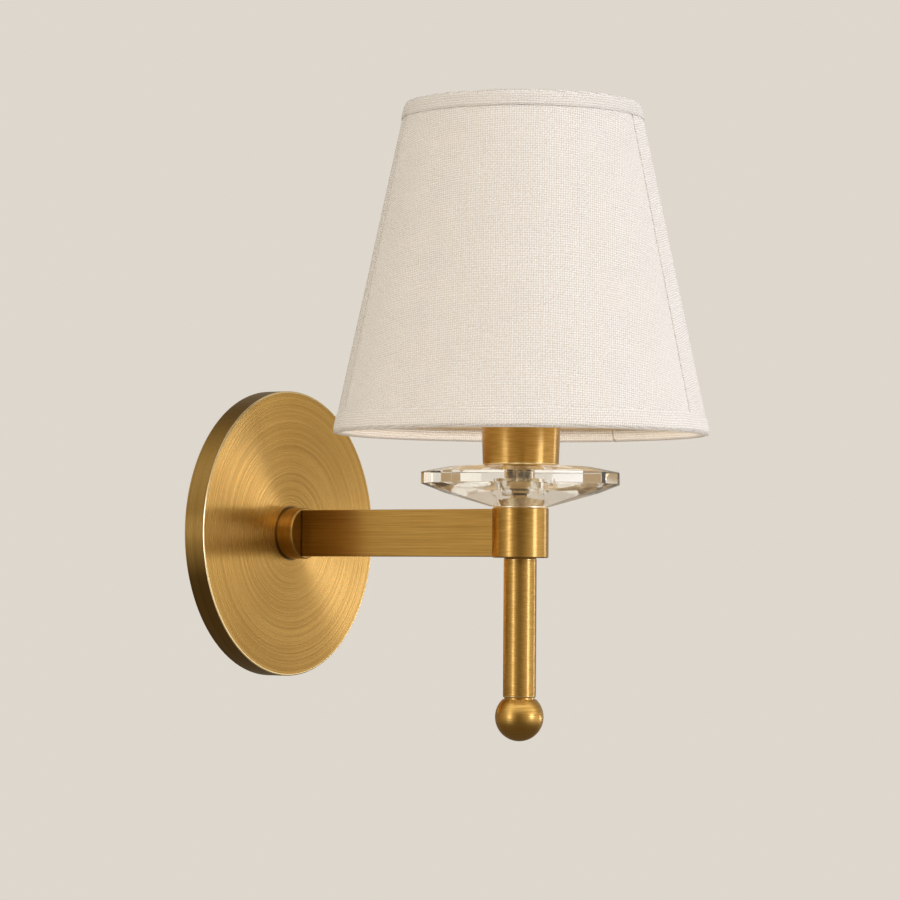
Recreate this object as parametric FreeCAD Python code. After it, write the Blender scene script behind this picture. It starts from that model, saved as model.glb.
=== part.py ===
"""Fabric shade wall light: a brass arm on a round wall plate carries a crystal dish, a lampholder
and a conical linen shade.

Millimetres. +Z is up, the wall is the plane y = 0 and the light reaches out towards -Y. The origin
is the centre of the wall plate's back face, level with the middle of the arm.
"""

import FreeCAD, Part
import math
import os
from FreeCAD import Placement, Rotation, Vector

# --- Wall plate and bracket -----------------------------------------------------------------------
CANOPY_DIA = 120.0
CANOPY_DEPTH = 9.8
CANOPY_WALL = 1.2
CANOPY_EDGE = 0.7  # bevel at the front edge
NIPPLE_CLEARANCE = 0.2  # between a threaded tube and a plain hole it passes through

BRACKET_THICK = 2.0
BRACKET_WIDTH = 26.0
BRACKET_STRAP = 98.0  # length of the full-width part
BRACKET_HUB_DIA = 44.0
BRACKET_CABLE_HOLE = 22.0
BRACKET_EAR_WIDTH = 12.0
BRACKET_EAR_DEPTH = 7.6
EAR_GAP = 1.0  # between an ear's middle and the inside of the canopy's rim
SLOT_WIDTH = 5.0
SLOT_LENGTH = 16.0
SLOT_SPACING = 64.0
RIM_SCREW_DIA = 4.0
RIM_SCREW_LENGTH = 9.0
RIM_SCREW_FROM_WALL = 5.0
RIM_HOLE_CLEARANCE = 0.15
RIM_SCREW_SOCKET = 2.0  # across flats
RIM_SCREW_SOCKET_DEPTH = 2.5

# --- Terminal block and earth point ---------------------------------------------------------------
BLOCK_WIDTH = 14.0
BLOCK_LENGTH = 30.0
BLOCK_HEIGHT = 6.2
BLOCK_OFFSET = 31.0  # from the centre of the wall plate to the middle of the block
POLE_PITCH = 9.0
SLEEVE_DIA = 3.6
SLEEVE_BORE = 2.4
SLEEVE_LENGTH = 12.0
POLE_SCREW_DIA = 2.2
POLE_SCREW_SPACING = 6.0
POLE_SCREW_SINK = 0.3
BLOCK_SCREW_DIA = 2.4
BLOCK_SCREW_HEAD_DIA = 4.2
BLOCK_SCREW_HEAD = 1.0
WING_MARGIN = 2.0
EARTH_DROP = 17.5
EARTH_SCREW_DIA = 4.0
EARTH_HEAD_DIA = 7.6
EARTH_HEAD = 1.8
DRIVE_SLOT_WIDTH = 0.8
DRIVE_SLOT_DEPTH = 0.9
TAG_THICK = 0.8
TAG_DIA = 8.4
TAG_BARREL_DIA = 3.0
TAG_BARREL_LENGTH = 4.0

# --- Arm ------------------------------------------------------------------------------------------
REACH = 124.7  # from the wall to the lamp's axis
ARM_HEIGHT = 19.4
ARM_THICK = 7.0
ARM_WALL = 1.0
ARM_EDGE = 0.4
BOSS_DIA = 21.5
BOSS_LENGTH = 8.0
BOSS_EDGE = 0.5
ARM_SEAT = 1.5  # depth of the arm's end in the boss
ARM_NIPPLE_DIA = 10.0
ARM_NIPPLE_BORE = 7.0
ARM_THREAD = 6.0  # depth of the thread in the boss
LOCKNUT_FLATS = 14.0
LOCKNUT_HEIGHT = 2.6
LOCK_WASHER_DIA = 18.0
LOCK_WASHER_THICK = 0.8
LOCK_WASHER_TEETH = 12
LOCK_WASHER_NOTCH = 1.6

# --- Collar, rod and ball -------------------------------------------------------------------------
COLLAR_DIA = 22.8
COLLAR_HEIGHT = 20.2
COLLAR_EDGE = 0.4
COLLAR_CHAMBER_DIA = 8.5
COLLAR_CHAMBER = 7.2
COLLAR_SIDE_HOLE = 6.0
ROD_DIA = 13.3
ROD_LENGTH = 56.4
ROD_EDGE = 0.4
STUD_DIA = 8.0
STUD_ENGAGEMENT = 8.0
BALL_DIA = 19.6
BALL_SINK = 2.7  # depth of the flat that is cut from the top of the ball
NECK_DIA = 12.2
NECK_HEIGHT = 0.6

# --- Crystal dish ---------------------------------------------------------------------------------
STEM_DIA = 8.0
STEM_BORE = 5.8
LOWER_WASHER_THICK = 0.5
LOWER_WASHER_DIA = 22.0
UPPER_WASHER_THICK = 0.3
UPPER_WASHER_DIA = 24.0
CRYSTAL_HEIGHT = 16.1
CRYSTAL_DIA = 81.0
CRYSTAL_FACETS = 18
CRYSTAL_TABLE_DIA = 56.0
CROWN_HEIGHT = 2.3
GIRDLE_HEIGHT = 4.8
CRYSTAL_FOOT_DIA = 23.2
BREAK_SLOPE = 21.5  # degrees: short facets below the girdle
MAIN_SLOPE = 17.0  # degrees: long facets down to the foot
SLEEVE_SEAT_DIA = 16.8  # counterbore for the clear sleeve
SLEEVE_SEAT_HEIGHT = 11.1
CLEAR_SLEEVE_GAP = 0.2
CLEAR_SLEEVE_STEP = 0.4
CLEAR_SLEEVE_STEP_AT = 4.9

# --- Lampholder cup -------------------------------------------------------------------------------
CUP_DIA = 30.7
CUP_HEIGHT = 50.0
CUP_TAPER = 2.1  # degrees, widening upwards
CUP_WALL = 1.0
CUP_FLOOR = 1.2
CUP_EDGE = 0.6
CUP_NUT_FLATS = 13.0
CUP_NUT_HEIGHT = 3.0

# --- Lampholder -----------------------------------------------------------------------------------
HOLDER_NECK_DIA = 14.0
HOLDER_NECK_HEIGHT = 3.8
HOLDER_CAP_DIA = 25.0
HOLDER_CAP_HEIGHT = 14.8
HOLDER_WALL = 1.6
HOLDER_THREAD = 6.8
SKIRT_DIA = 28.0
SKIRT_WALL = 1.9
SKIRT_ABOVE_CUP = 11.0
CORE_DIA = 23.6
CORE_HEIGHT = 11.0
CORE_SLEEVE_WALL = 1.5
SHELL_BORE = 14.4
SHELL_WALL = 0.5
SHELL_DEPTH = 23.0
SHELL_FLOOR_HOLE = 10.0
CONTACT_THICK = 0.4
CONTACT_WIDTH = 4.0
CONTACT_RISE = 2.3
TERMINAL_WIDTH = 4.0
TERMINAL_HEIGHT = 6.0
TERMINAL_OFFSET = 6.0
RIVET_DIA = 2.0

# --- Shade ----------------------------------------------------------------------------------------
SHADE_TOP_DIA = 95.2
SHADE_BOTTOM_DIA = 152.0
SHADE_HEIGHT = 134.3
SHADE_BELOW_CUP_TOP = 37.5  # from the cup's rim down to the shade's lower edge
COVER_THICK = 0.7
LINER_THICK = 0.5
BAND_THICK = 0.4
BAND_GLUE = 0.1  # between a band and the linen under it
TOP_BAND_HEIGHT = 6.8
BOTTOM_BAND_HEIGHT = 8.0
BAND_TURN_IN = 4.6
WIRE_DIA = 2.6
SPOKE_DIA = 2.4
CARRIER_THICK = 1.2
CARRIER_DIA = 40.0
CARRIER_CLEARANCE = 0.3
CLAMP_RING_DIA = 40.0
CLAMP_RING_HEIGHT = 8.0
CLAMP_RING_GRIPS = 16
CLAMP_RING_GRIP_DIA = 4.0
CLAMP_RING_GRIP_OUT = 1.0  # from the ring's edge out to the middle of each hollow
SPOKE_ANGLES = (34.0, 154.0, 274.0)  # about the lamp's axis, from +X

# --- Bulb -----------------------------------------------------------------------------------------
BULB_LENGTH = 99.0
BULB_DIA = 35.0
BULB_GLASS_WALL = 0.8
BULB_CAP_DIA = 13.9
BULB_CAP_WALL = 0.4
BULB_CAP_LENGTH = 18.5
BULB_CAP_FLOOR = 0.6
BULB_TIP_DIA = 4.8
BULB_TIP_HEIGHT = 1.0
BULB_INSULATOR_HEIGHT = 2.5
BULB_SEAT_GAP = 0.3  # above the centre contact
BULB_NECK_IN_CAP = 6.0
FILAMENT_DIA = 1.6
FILAMENT_LENGTH = 30.0
FILAMENT_LEAN = 12.0  # degrees
FILAMENT_COUNT = 4
BULB_STEM_DIA = 5.0
BULB_STEM_HEIGHT = 34.0
CANDLE_SHOULDER = ((0.30, 0.11), (0.86, 0.30))  # shares of the widening and of the height
CANDLE_BELLY = 0.44  # share of the height
CANDLE_SPIRE = ((0.80, 0.68), (0.40, 0.89))  # shares of the belly and of the height
CANDLE_TIP_RISE = 0.8  # for each millimetre that the glass closes in at its tip

# --- Wiring ---------------------------------------------------------------------------------------
LEAD_DIA = 1.9
LEAD_PITCH = 2.2  # between the two leads that run side by side in the arm
LEAD_DIP = 2.8  # from the wall to where the leads turn behind the canopy
LEAD_BEND = 9.0  # largest radius where a lead has room
LEAD_MOUTH_BEND = 5.0  # radius at the mouth of the arm, behind the canopy
LEAD_COLLAR_BEND = 3.0  # radius of the inner lead's turn in the collar
LEAD_RUN_IN = 4.0  # straight in front of the terminal block
LEAD_FAN_RISE = 3.0  # above the stem, to where the leads are as far apart as their terminals
LEAD_SAG = 1.0  # towards the canopy, half way to the terminal block
LEAD_TAG_INSERT = 1.0  # into the earth tag's barrel
LEAD_TAG_RUN = 3.0  # straight past the earth tag
LEAD_EARTH_RUN_IN = 6.0  # straight in front of the earth terminal

ARC_SHARE = 0.45  # of the shorter run beside a bend that its arc may take

# --- Places that follow from the sizes ------------------------------------------------------------
canopy_r = CANOPY_DIA / 2
canopy_inner_r = canopy_r - CANOPY_WALL
canopy_face_inside = CANOPY_DEPTH - CANOPY_WALL
ear_outside = canopy_inner_r - EAR_GAP
boss_front = CANOPY_DEPTH + BOSS_LENGTH
arm_start = boss_front - ARM_SEAT
locknut_back = canopy_face_inside - LOCK_WASHER_THICK - LOCKNUT_HEIGHT

collar_top = COLLAR_HEIGHT / 2
chamber_top = COLLAR_CHAMBER / 2
rod_bottom = -collar_top - ROD_LENGTH
ball_top = rod_bottom - NECK_HEIGHT
ball_centre = ball_top + BALL_SINK - BALL_DIA / 2

crystal_bottom = collar_top + LOWER_WASHER_THICK
crystal_top = crystal_bottom + CRYSTAL_HEIGHT
girdle_top = crystal_top - CROWN_HEIGHT
girdle_bottom = girdle_top - GIRDLE_HEIGHT
cup_bottom = crystal_top + UPPER_WASHER_THICK
cup_top = cup_bottom + CUP_HEIGHT
cup_nut_top = cup_bottom + CUP_FLOOR + CUP_NUT_HEIGHT
holder_cap_top = cup_nut_top + HOLDER_CAP_HEIGHT
core_top = holder_cap_top + CORE_HEIGHT
shell_top = core_top + SHELL_DEPTH
skirt_top = cup_top + SKIRT_ABOVE_CUP
stem_top = cup_nut_top + HOLDER_THREAD

shade_bottom = cup_top - SHADE_BELOW_CUP_TOP
shade_top = shade_bottom + SHADE_HEIGHT
cover_bottom = shade_bottom + BAND_THICK
cover_top = shade_top - BAND_THICK
carrier_bottom = cup_top + CARRIER_CLEARANCE
carrier_top = carrier_bottom + CARRIER_THICK
clamp_bottom = carrier_top + CARRIER_CLEARANCE

contact_top = core_top + CONTACT_RISE
tip_bottom = contact_top + BULB_SEAT_GAP
insulator_bottom = tip_bottom + BULB_TIP_HEIGHT
cap_bottom = insulator_bottom + BULB_INSULATOR_HEIGHT
cap_top = cap_bottom + BULB_CAP_LENGTH
bulb_top = tip_bottom + BULB_LENGTH
neck_bottom = cap_top - BULB_NECK_IN_CAP

block_mid = BRACKET_THICK + BLOCK_HEIGHT / 2
block_near = BLOCK_OFFSET - BLOCK_WIDTH / 2
sleeve_near = BLOCK_OFFSET - SLEEVE_LENGTH / 2

Z_AXIS = Vector(0, 0, 1)
PARTS = {}


# --- Shapes ---------------------------------------------------------------------------------------
def cylinder(dia, low, high, x=0.0, y=0.0):
    """A cylinder along Z from low to high."""
    return Part.makeCylinder(dia / 2, high - low, Vector(x, y, low), Z_AXIS)


def tube(outer_dia, inner_dia, low, high):
    return cylinder(outer_dia, low, high).cut(cylinder(inner_dia, low, high))


def block(x, y, z):
    """A box between the pairs x, y and z."""
    return Part.makeBox(x[1] - x[0], y[1] - y[0], z[1] - z[0], Vector(x[0], y[0], z[0]))


def turned(profile):
    """A closed outline of (radius, height) points, turned about Z."""
    points = [Vector(r, 0, z) for r, z in profile]
    face = Part.Face(Part.makePolygon(points + points[:1]))
    return face.revolve(Vector(), Z_AXIS, 360)


def hexagon(flats, low, high):
    radius = flats / math.sqrt(3)
    corners = [Vector(radius, 0, low)]
    for step in range(1, 6):
        angle = math.radians(60 * step)
        corners.append(Vector(radius * math.cos(angle), radius * math.sin(angle), low))
    face = Part.Face(Part.makePolygon(corners + corners[:1]))
    return face.extrude(Vector(0, 0, high - low))


def slot(width, length, low, high, y):
    """A round-ended slot that runs along Y, centred on y."""
    half = (length - width) / 2
    middle = block((-width / 2, width / 2), (y - half, y + half), (low, high))
    ends = [cylinder(width, low, high, y=y - half), cylinder(width, low, high, y=y + half)]
    return middle.fuse(ends).removeSplitter()


def turned_copy(shape, angle):
    """A copy of the shape, turned about Z by an angle in degrees."""
    copy = shape.copy()
    copy.rotate(Vector(), Z_AXIS, angle)
    return copy


def on_wall(shape):
    """From a sketch on the wall, X across, Y up and Z out of the wall, to the part's frame."""
    placed = shape.copy()
    placed.Placement = Placement(Vector(), Rotation(Vector(1, 0, 0), 90)).multiply(placed.Placement)
    return placed


def on_lamp(shape):
    """From the lamp's own axis to the part's frame."""
    placed = shape.copy()
    placed.translate(Vector(0, -REACH, 0))
    return placed


def keep(name, shape):
    """Store a sub-part of one or more closed solids."""
    solids = shape.Solids
    PARTS[name] = solids[0] if len(solids) == 1 else Part.makeCompound(solids)


def cable(route, dia, room):
    """A round lead along a route of points, with straight runs and tangent arcs.

    room gives the largest radius that each inner point leaves space for.
    """
    edges = []
    length = 0.0
    start = route[0]
    for index in range(1, len(route) - 1):
        before, corner, after = route[index - 1 : index + 2]
        run_in = corner - before
        run_out = after - corner
        turn = run_in.getAngle(run_out)
        shorter = min(run_in.Length, run_out.Length)
        radius = min(ARC_SHARE * shorter / math.tan(turn / 2), room[index - 1])
        reach = radius * math.tan(turn / 2)
        run_in.normalize()
        run_out.normalize()
        arc_start = corner - run_in * reach
        arc_end = corner + run_out * reach
        bisector = run_out - run_in
        bisector.normalize()
        middle = corner + bisector * (radius / math.cos(turn / 2) - radius)
        edges.append(Part.LineSegment(start, arc_start).toShape())
        edges.append(Part.Arc(arc_start, middle, arc_end).toShape())
        length += (arc_start - start).Length + radius * turn
        print("  bend radius", round(radius, 2))
        start = arc_end
    edges.append(Part.LineSegment(start, route[-1]).toShape())
    length += (route[-1] - start).Length
    ring = Part.Wire(Part.makeCircle(dia / 2, route[0], route[1] - route[0]))
    pipe = Part.Wire(edges).makePipeShell([ring], True, False)
    expected = math.pi * dia**2 / 4 * length
    print("  length", round(length, 1), "volume ratio", round(pipe.Volume / expected, 4))
    return pipe


# --- Wall side ------------------------------------------------------------------------------------
def make_canopy():
    hole_r = ARM_NIPPLE_DIA / 2 + NIPPLE_CLEARANCE
    pan = turned(
        [
            (hole_r, canopy_face_inside),
            (canopy_inner_r, canopy_face_inside),
            (canopy_inner_r, 0),
            (canopy_r, 0),
            (canopy_r, CANOPY_DEPTH - CANOPY_EDGE),
            (canopy_r - CANOPY_EDGE, CANOPY_DEPTH),
            (hole_r, CANOPY_DEPTH),
        ]
    )
    hole = Part.makeCylinder(
        RIM_SCREW_DIA / 2 + RIM_HOLE_CLEARANCE,
        CANOPY_DIA,
        Vector(0, -canopy_r, RIM_SCREW_FROM_WALL),
        Vector(0, 1, 0),
    )
    keep("canopy", on_wall(pan.cut(hole)))


def block_screw_places():
    """The two screws that hold the terminal block stand between its poles."""
    return [(BLOCK_OFFSET, side * POLE_PITCH / 2) for side in (-1, 1)]


def make_bracket():
    half = BRACKET_WIDTH / 2
    strap = block((-half, half), (-BRACKET_STRAP / 2, BRACKET_STRAP / 2), (0, BRACKET_THICK))
    hub = cylinder(BRACKET_HUB_DIA, 0, BRACKET_THICK)
    wing = block(
        (0, BLOCK_OFFSET + BLOCK_WIDTH / 2 + WING_MARGIN),
        (-BLOCK_LENGTH / 2 - WING_MARGIN, BLOCK_LENGTH / 2 + WING_MARGIN),
        (0, BRACKET_THICK),
    )
    ear_half = BRACKET_EAR_WIDTH / 2
    neck = block((-ear_half, ear_half), (-ear_outside, ear_outside), (0, BRACKET_THICK))
    plate = strap.fuse([hub, wing, neck])
    for side in (-1, 1):
        low = min(side * ear_outside, side * (ear_outside - BRACKET_THICK))
        ear = block((-ear_half, ear_half), (low, low + BRACKET_THICK), (0, BRACKET_EAR_DEPTH))
        plate = plate.fuse(ear)
    plate = plate.removeSplitter()
    tools = [cylinder(BRACKET_CABLE_HOLE, 0, BRACKET_THICK)]
    for side in (-1, 1):
        tools.append(slot(SLOT_WIDTH, SLOT_LENGTH, 0, BRACKET_THICK, side * SLOT_SPACING / 2))
    tools.append(cylinder(EARTH_SCREW_DIA, 0, BRACKET_THICK, y=-EARTH_DROP))
    for x, y in block_screw_places():
        tools.append(cylinder(BLOCK_SCREW_DIA, 0, BRACKET_THICK, x, y))
    tools.append(
        Part.makeCylinder(
            RIM_SCREW_DIA / 2,
            2 * ear_outside,
            Vector(0, -ear_outside, RIM_SCREW_FROM_WALL),
            Vector(0, 1, 0),
        )
    )
    keep("wall_bracket", on_wall(plate.cut(tools)))


def make_canopy_screws():
    start = canopy_r - RIM_SCREW_LENGTH
    screw = cylinder(RIM_SCREW_DIA, start, canopy_r)
    socket = hexagon(RIM_SCREW_SOCKET, canopy_r - RIM_SCREW_SOCKET_DEPTH, canopy_r)
    screw = screw.cut(socket)
    screw.rotate(Vector(), Vector(1, 0, 0), -90)
    screw.translate(Vector(0, 0, RIM_SCREW_FROM_WALL))
    pair = [turned_copy(screw, 0), turned_copy(screw, 180)]
    keep("canopy_grub_screws", on_wall(Part.makeCompound(pair)))


def make_terminal_block():
    body = block(
        (block_near, block_near + BLOCK_WIDTH),
        (-BLOCK_LENGTH / 2, BLOCK_LENGTH / 2),
        (BRACKET_THICK, BRACKET_THICK + BLOCK_HEIGHT),
    )
    top = BRACKET_THICK + BLOCK_HEIGHT
    along = Vector(1, 0, 0)
    sleeves = []
    screws = []
    for pole in (-1, 0, 1):
        y = pole * POLE_PITCH
        body = body.cut(
            Part.makeCylinder(SLEEVE_DIA / 2, BLOCK_WIDTH, Vector(block_near, y, block_mid), along)
        )
        seat = Vector(sleeve_near, y, block_mid)
        sleeve = Part.makeCylinder(SLEEVE_DIA / 2, SLEEVE_LENGTH, seat, along)
        sleeve = sleeve.cut(Part.makeCylinder(SLEEVE_BORE / 2, SLEEVE_LENGTH, seat, along))
        for side in (-1, 1):
            x = BLOCK_OFFSET + side * POLE_SCREW_SPACING / 2
            well = cylinder(POLE_SCREW_DIA, block_mid, top, x, y)
            body = body.cut(well)
            sleeve = sleeve.cut(well)
            screw = cylinder(
                POLE_SCREW_DIA, block_mid + LEAD_DIA / 2, top - POLE_SCREW_SINK, x, y
            )
            cross = block(
                (x - POLE_SCREW_DIA, x + POLE_SCREW_DIA),
                (y - DRIVE_SLOT_WIDTH / 4, y + DRIVE_SLOT_WIDTH / 4),
                (top - POLE_SCREW_SINK - DRIVE_SLOT_DEPTH / 2, top),
            )
            screws.append(screw.cut(cross))
        sleeves.append(sleeve)
    fixings = []
    for x, y in block_screw_places():
        shank = cylinder(BLOCK_SCREW_DIA, 0, top, x, y)
        head_low = top - BLOCK_SCREW_HEAD
        sink = cylinder(BLOCK_SCREW_HEAD_DIA, head_low, top, x, y)
        body = body.cut([shank, sink])
        fixing = shank.fuse(sink).removeSplitter()
        cross = block(
            (x - BLOCK_SCREW_HEAD_DIA, x + BLOCK_SCREW_HEAD_DIA),
            (y - DRIVE_SLOT_WIDTH / 2, y + DRIVE_SLOT_WIDTH / 2),
            (top - DRIVE_SLOT_DEPTH, top),
        )
        fixings.append(fixing.cut(cross))
    keep("terminal_block", on_wall(body))
    keep("terminal_sleeves", on_wall(Part.makeCompound(sleeves)))
    keep("terminal_screws", on_wall(Part.makeCompound(screws)))
    keep("block_screws", on_wall(Part.makeCompound(fixings)))


def make_earth_point():
    tag_top = BRACKET_THICK + TAG_THICK
    shank = cylinder(EARTH_SCREW_DIA, 0, tag_top, y=-EARTH_DROP)
    head = cylinder(EARTH_HEAD_DIA, tag_top, tag_top + EARTH_HEAD, y=-EARTH_DROP)
    cross = block(
        (-EARTH_HEAD_DIA, EARTH_HEAD_DIA),
        (-EARTH_DROP - DRIVE_SLOT_WIDTH / 2, -EARTH_DROP + DRIVE_SLOT_WIDTH / 2),
        (tag_top + EARTH_HEAD - DRIVE_SLOT_DEPTH, tag_top + EARTH_HEAD),
    )
    keep("earth_screw", on_wall(shank.fuse(head).removeSplitter().cut(cross)))
    ring = cylinder(TAG_DIA, BRACKET_THICK, tag_top, y=-EARTH_DROP)
    barrel_start = Vector(TAG_DIA / 2, -EARTH_DROP, BRACKET_THICK + TAG_BARREL_DIA / 2)
    along = Vector(1, 0, 0)
    barrel = Part.makeCylinder(TAG_BARREL_DIA / 2, TAG_BARREL_LENGTH, barrel_start, along)
    tongue = block(
        (0, TAG_DIA / 2 + TAG_BARREL_LENGTH / 4),
        (-EARTH_DROP - TAG_BARREL_DIA / 2, -EARTH_DROP + TAG_BARREL_DIA / 2),
        (BRACKET_THICK, tag_top),
    )
    hole = cylinder(EARTH_SCREW_DIA, BRACKET_THICK, tag_top, y=-EARTH_DROP)
    tag = ring.fuse([barrel, tongue]).removeSplitter().cut(hole)
    bore = Part.makeCylinder(LEAD_DIA / 2, TAG_BARREL_LENGTH, barrel_start, along)
    keep("earth_tag", on_wall(tag.cut(bore)))


def make_arm_fixing():
    thread_end = CANOPY_DEPTH + ARM_THREAD
    nipple = tube(ARM_NIPPLE_DIA, ARM_NIPPLE_BORE, locknut_back, thread_end)
    keep("arm_nipple", on_wall(nipple))
    nut_top = locknut_back + LOCKNUT_HEIGHT
    nut = hexagon(LOCKNUT_FLATS, locknut_back, nut_top)
    keep("arm_locknut", on_wall(nut.cut(cylinder(ARM_NIPPLE_DIA, locknut_back, nut_top))))
    bore = ARM_NIPPLE_DIA + 2 * NIPPLE_CLEARANCE
    washer = tube(LOCK_WASHER_DIA, bore, nut_top, canopy_face_inside)
    notch = block(
        (LOCK_WASHER_DIA / 2 - LOCK_WASHER_NOTCH, LOCK_WASHER_DIA),
        (-LOCK_WASHER_NOTCH / 2, LOCK_WASHER_NOTCH / 2),
        (nut_top, canopy_face_inside),
    )
    notches = [turned_copy(notch, 360 / LOCK_WASHER_TEETH * i) for i in range(LOCK_WASHER_TEETH)]
    keep("arm_lock_washer", on_wall(washer.cut(notches)))


# --- Arm ------------------------------------------------------------------------------------------
def arm_bar(width, height, start, end, edge):
    """A bar with softened long edges, along -Y from start to end in front of the wall."""
    bar = block((-width / 2, width / 2), (-end, -start), (-height / 2, height / 2))
    if edge <= 0:
        return bar
    long_edges = [e for e in bar.Edges if abs(e.tangentAt(0).y) > 0.9]
    return bar.makeFillet(edge, long_edges)


def make_boss():
    outer = BOSS_DIA / 2
    body = turned(
        [
            (ARM_NIPPLE_BORE / 2, CANOPY_DEPTH + ARM_THREAD),
            (ARM_NIPPLE_DIA / 2, CANOPY_DEPTH + ARM_THREAD),
            (ARM_NIPPLE_DIA / 2, CANOPY_DEPTH),
            (outer, CANOPY_DEPTH),
            (outer, boss_front - BOSS_EDGE),
            (outer - BOSS_EDGE, boss_front),
            (ARM_NIPPLE_BORE / 2, boss_front),
        ]
    )
    seat = arm_bar(ARM_THICK, ARM_HEIGHT, arm_start, boss_front + ARM_SEAT, ARM_EDGE)
    keep("arm_boss", on_wall(body).cut(seat))


def make_arm():
    outside = arm_bar(ARM_THICK, ARM_HEIGHT, arm_start, REACH, ARM_EDGE)
    inside = arm_bar(ARM_THICK - 2 * ARM_WALL, ARM_HEIGHT - 2 * ARM_WALL, arm_start, REACH, 0)
    around = on_lamp(cylinder(COLLAR_DIA, -ARM_HEIGHT, ARM_HEIGHT))
    keep("arm_tube", outside.cut(inside).cut(around))


def make_collar():
    outer = COLLAR_DIA / 2
    thread = STEM_DIA / 2
    stud = STUD_DIA / 2
    chamber = COLLAR_CHAMBER_DIA / 2
    body = turned(
        [
            (thread, collar_top),
            (thread, chamber_top),
            (chamber, chamber_top),
            (chamber, -chamber_top),
            (stud, -chamber_top),
            (stud, -collar_top),
            (outer - COLLAR_EDGE, -collar_top),
            (outer, -collar_top + COLLAR_EDGE),
            (outer, collar_top - COLLAR_EDGE),
            (outer - COLLAR_EDGE, collar_top),
        ]
    )
    side_hole = Part.makeCylinder(COLLAR_SIDE_HOLE / 2, COLLAR_DIA, Vector(), Vector(0, 1, 0))
    keep("collar", on_lamp(body.cut(side_hole)))


def make_drop():
    depth = collar_top - chamber_top
    keep("drop_stud", on_lamp(cylinder(STUD_DIA, -collar_top - STUD_ENGAGEMENT, depth - collar_top)))
    outer = ROD_DIA / 2
    bore = STUD_DIA / 2
    rod = turned(
        [
            (bore, -collar_top),
            (bore, rod_bottom),
            (outer - ROD_EDGE, rod_bottom),
            (outer, rod_bottom + ROD_EDGE),
            (outer, -collar_top - ROD_EDGE),
            (outer - ROD_EDGE, -collar_top),
        ]
    )
    keep("drop_rod", on_lamp(rod))
    stud_bottom = ball_top - STUD_ENGAGEMENT
    keep("finial_stud", on_lamp(cylinder(STUD_DIA, stud_bottom, rod_bottom + STUD_ENGAGEMENT)))
    ball = Part.makeSphere(BALL_DIA / 2, Vector(0, 0, ball_centre))
    ball = ball.cut(cylinder(BALL_DIA, ball_top, ball_top + BALL_DIA))
    ball = ball.fuse(cylinder(NECK_DIA, ball_top, rod_bottom)).removeSplitter()
    keep("ball_finial", on_lamp(ball.cut(cylinder(STUD_DIA, stud_bottom, rod_bottom))))


# --- Crystal --------------------------------------------------------------------------------------
def facet_cut(radius, height, slope, azimuth, upward):
    """A large block that cuts a sloping facet through the point at this radius and height."""
    size = 2 * CRYSTAL_DIA
    tool = Part.makeBox(size, size, size, Vector(-size / 2, -size / 2, 0))
    lean = slope if upward else 180 - slope
    tool.rotate(Vector(), Vector(0, 1, 0), lean)
    tool.translate(Vector(radius, 0, height))
    return turned_copy(tool, azimuth)


def make_crystal():
    step = 360 / CRYSTAL_FACETS
    flat_r = CRYSTAL_DIA / 2 * math.cos(math.radians(step / 2))
    crown_slope = math.degrees(math.atan(CROWN_HEIGHT / (flat_r - CRYSTAL_TABLE_DIA / 2)))
    foot_r = CRYSTAL_FOOT_DIA / 2
    gem = cylinder(CRYSTAL_DIA + 1, crystal_bottom, crystal_top)
    for index in range(CRYSTAL_FACETS):
        azimuth = index * step
        gem = gem.cut(facet_cut(flat_r, girdle_top, 90, azimuth, True))
        gem = gem.cut(facet_cut(flat_r, girdle_top, crown_slope, azimuth, True))
        gem = gem.cut(facet_cut(flat_r, girdle_bottom, BREAK_SLOPE, azimuth, False))
        if index % 2 == 0:
            main = azimuth + step / 2
            gem = gem.cut(facet_cut(foot_r, crystal_bottom, MAIN_SLOPE, main, False))
    seat_top = crystal_bottom + SLEEVE_SEAT_HEIGHT
    gem = gem.cut(cylinder(SLEEVE_SEAT_DIA, crystal_bottom, seat_top))
    bore = STEM_DIA + 2 * NIPPLE_CLEARANCE
    gem = gem.cut(cylinder(bore, crystal_bottom, crystal_top))
    keep("crystal_bobeche", on_lamp(gem))
    outer = SLEEVE_SEAT_DIA / 2 - CLEAR_SLEEVE_GAP
    step_at = collar_top + CLEAR_SLEEVE_STEP_AT
    sleeve = turned(
        [
            (bore / 2, collar_top),
            (outer, collar_top),
            (outer, step_at),
            (outer - CLEAR_SLEEVE_STEP, step_at),
            (outer - CLEAR_SLEEVE_STEP, seat_top - CLEAR_SLEEVE_GAP),
            (bore / 2, seat_top - CLEAR_SLEEVE_GAP),
        ]
    )
    keep("crystal_sleeve", on_lamp(sleeve))
    keep(
        "crystal_lower_washer",
        on_lamp(tube(LOWER_WASHER_DIA, SLEEVE_SEAT_DIA, collar_top, crystal_bottom)),
    )
    keep("crystal_upper_washer", on_lamp(tube(UPPER_WASHER_DIA, bore, crystal_top, cup_bottom)))


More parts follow.
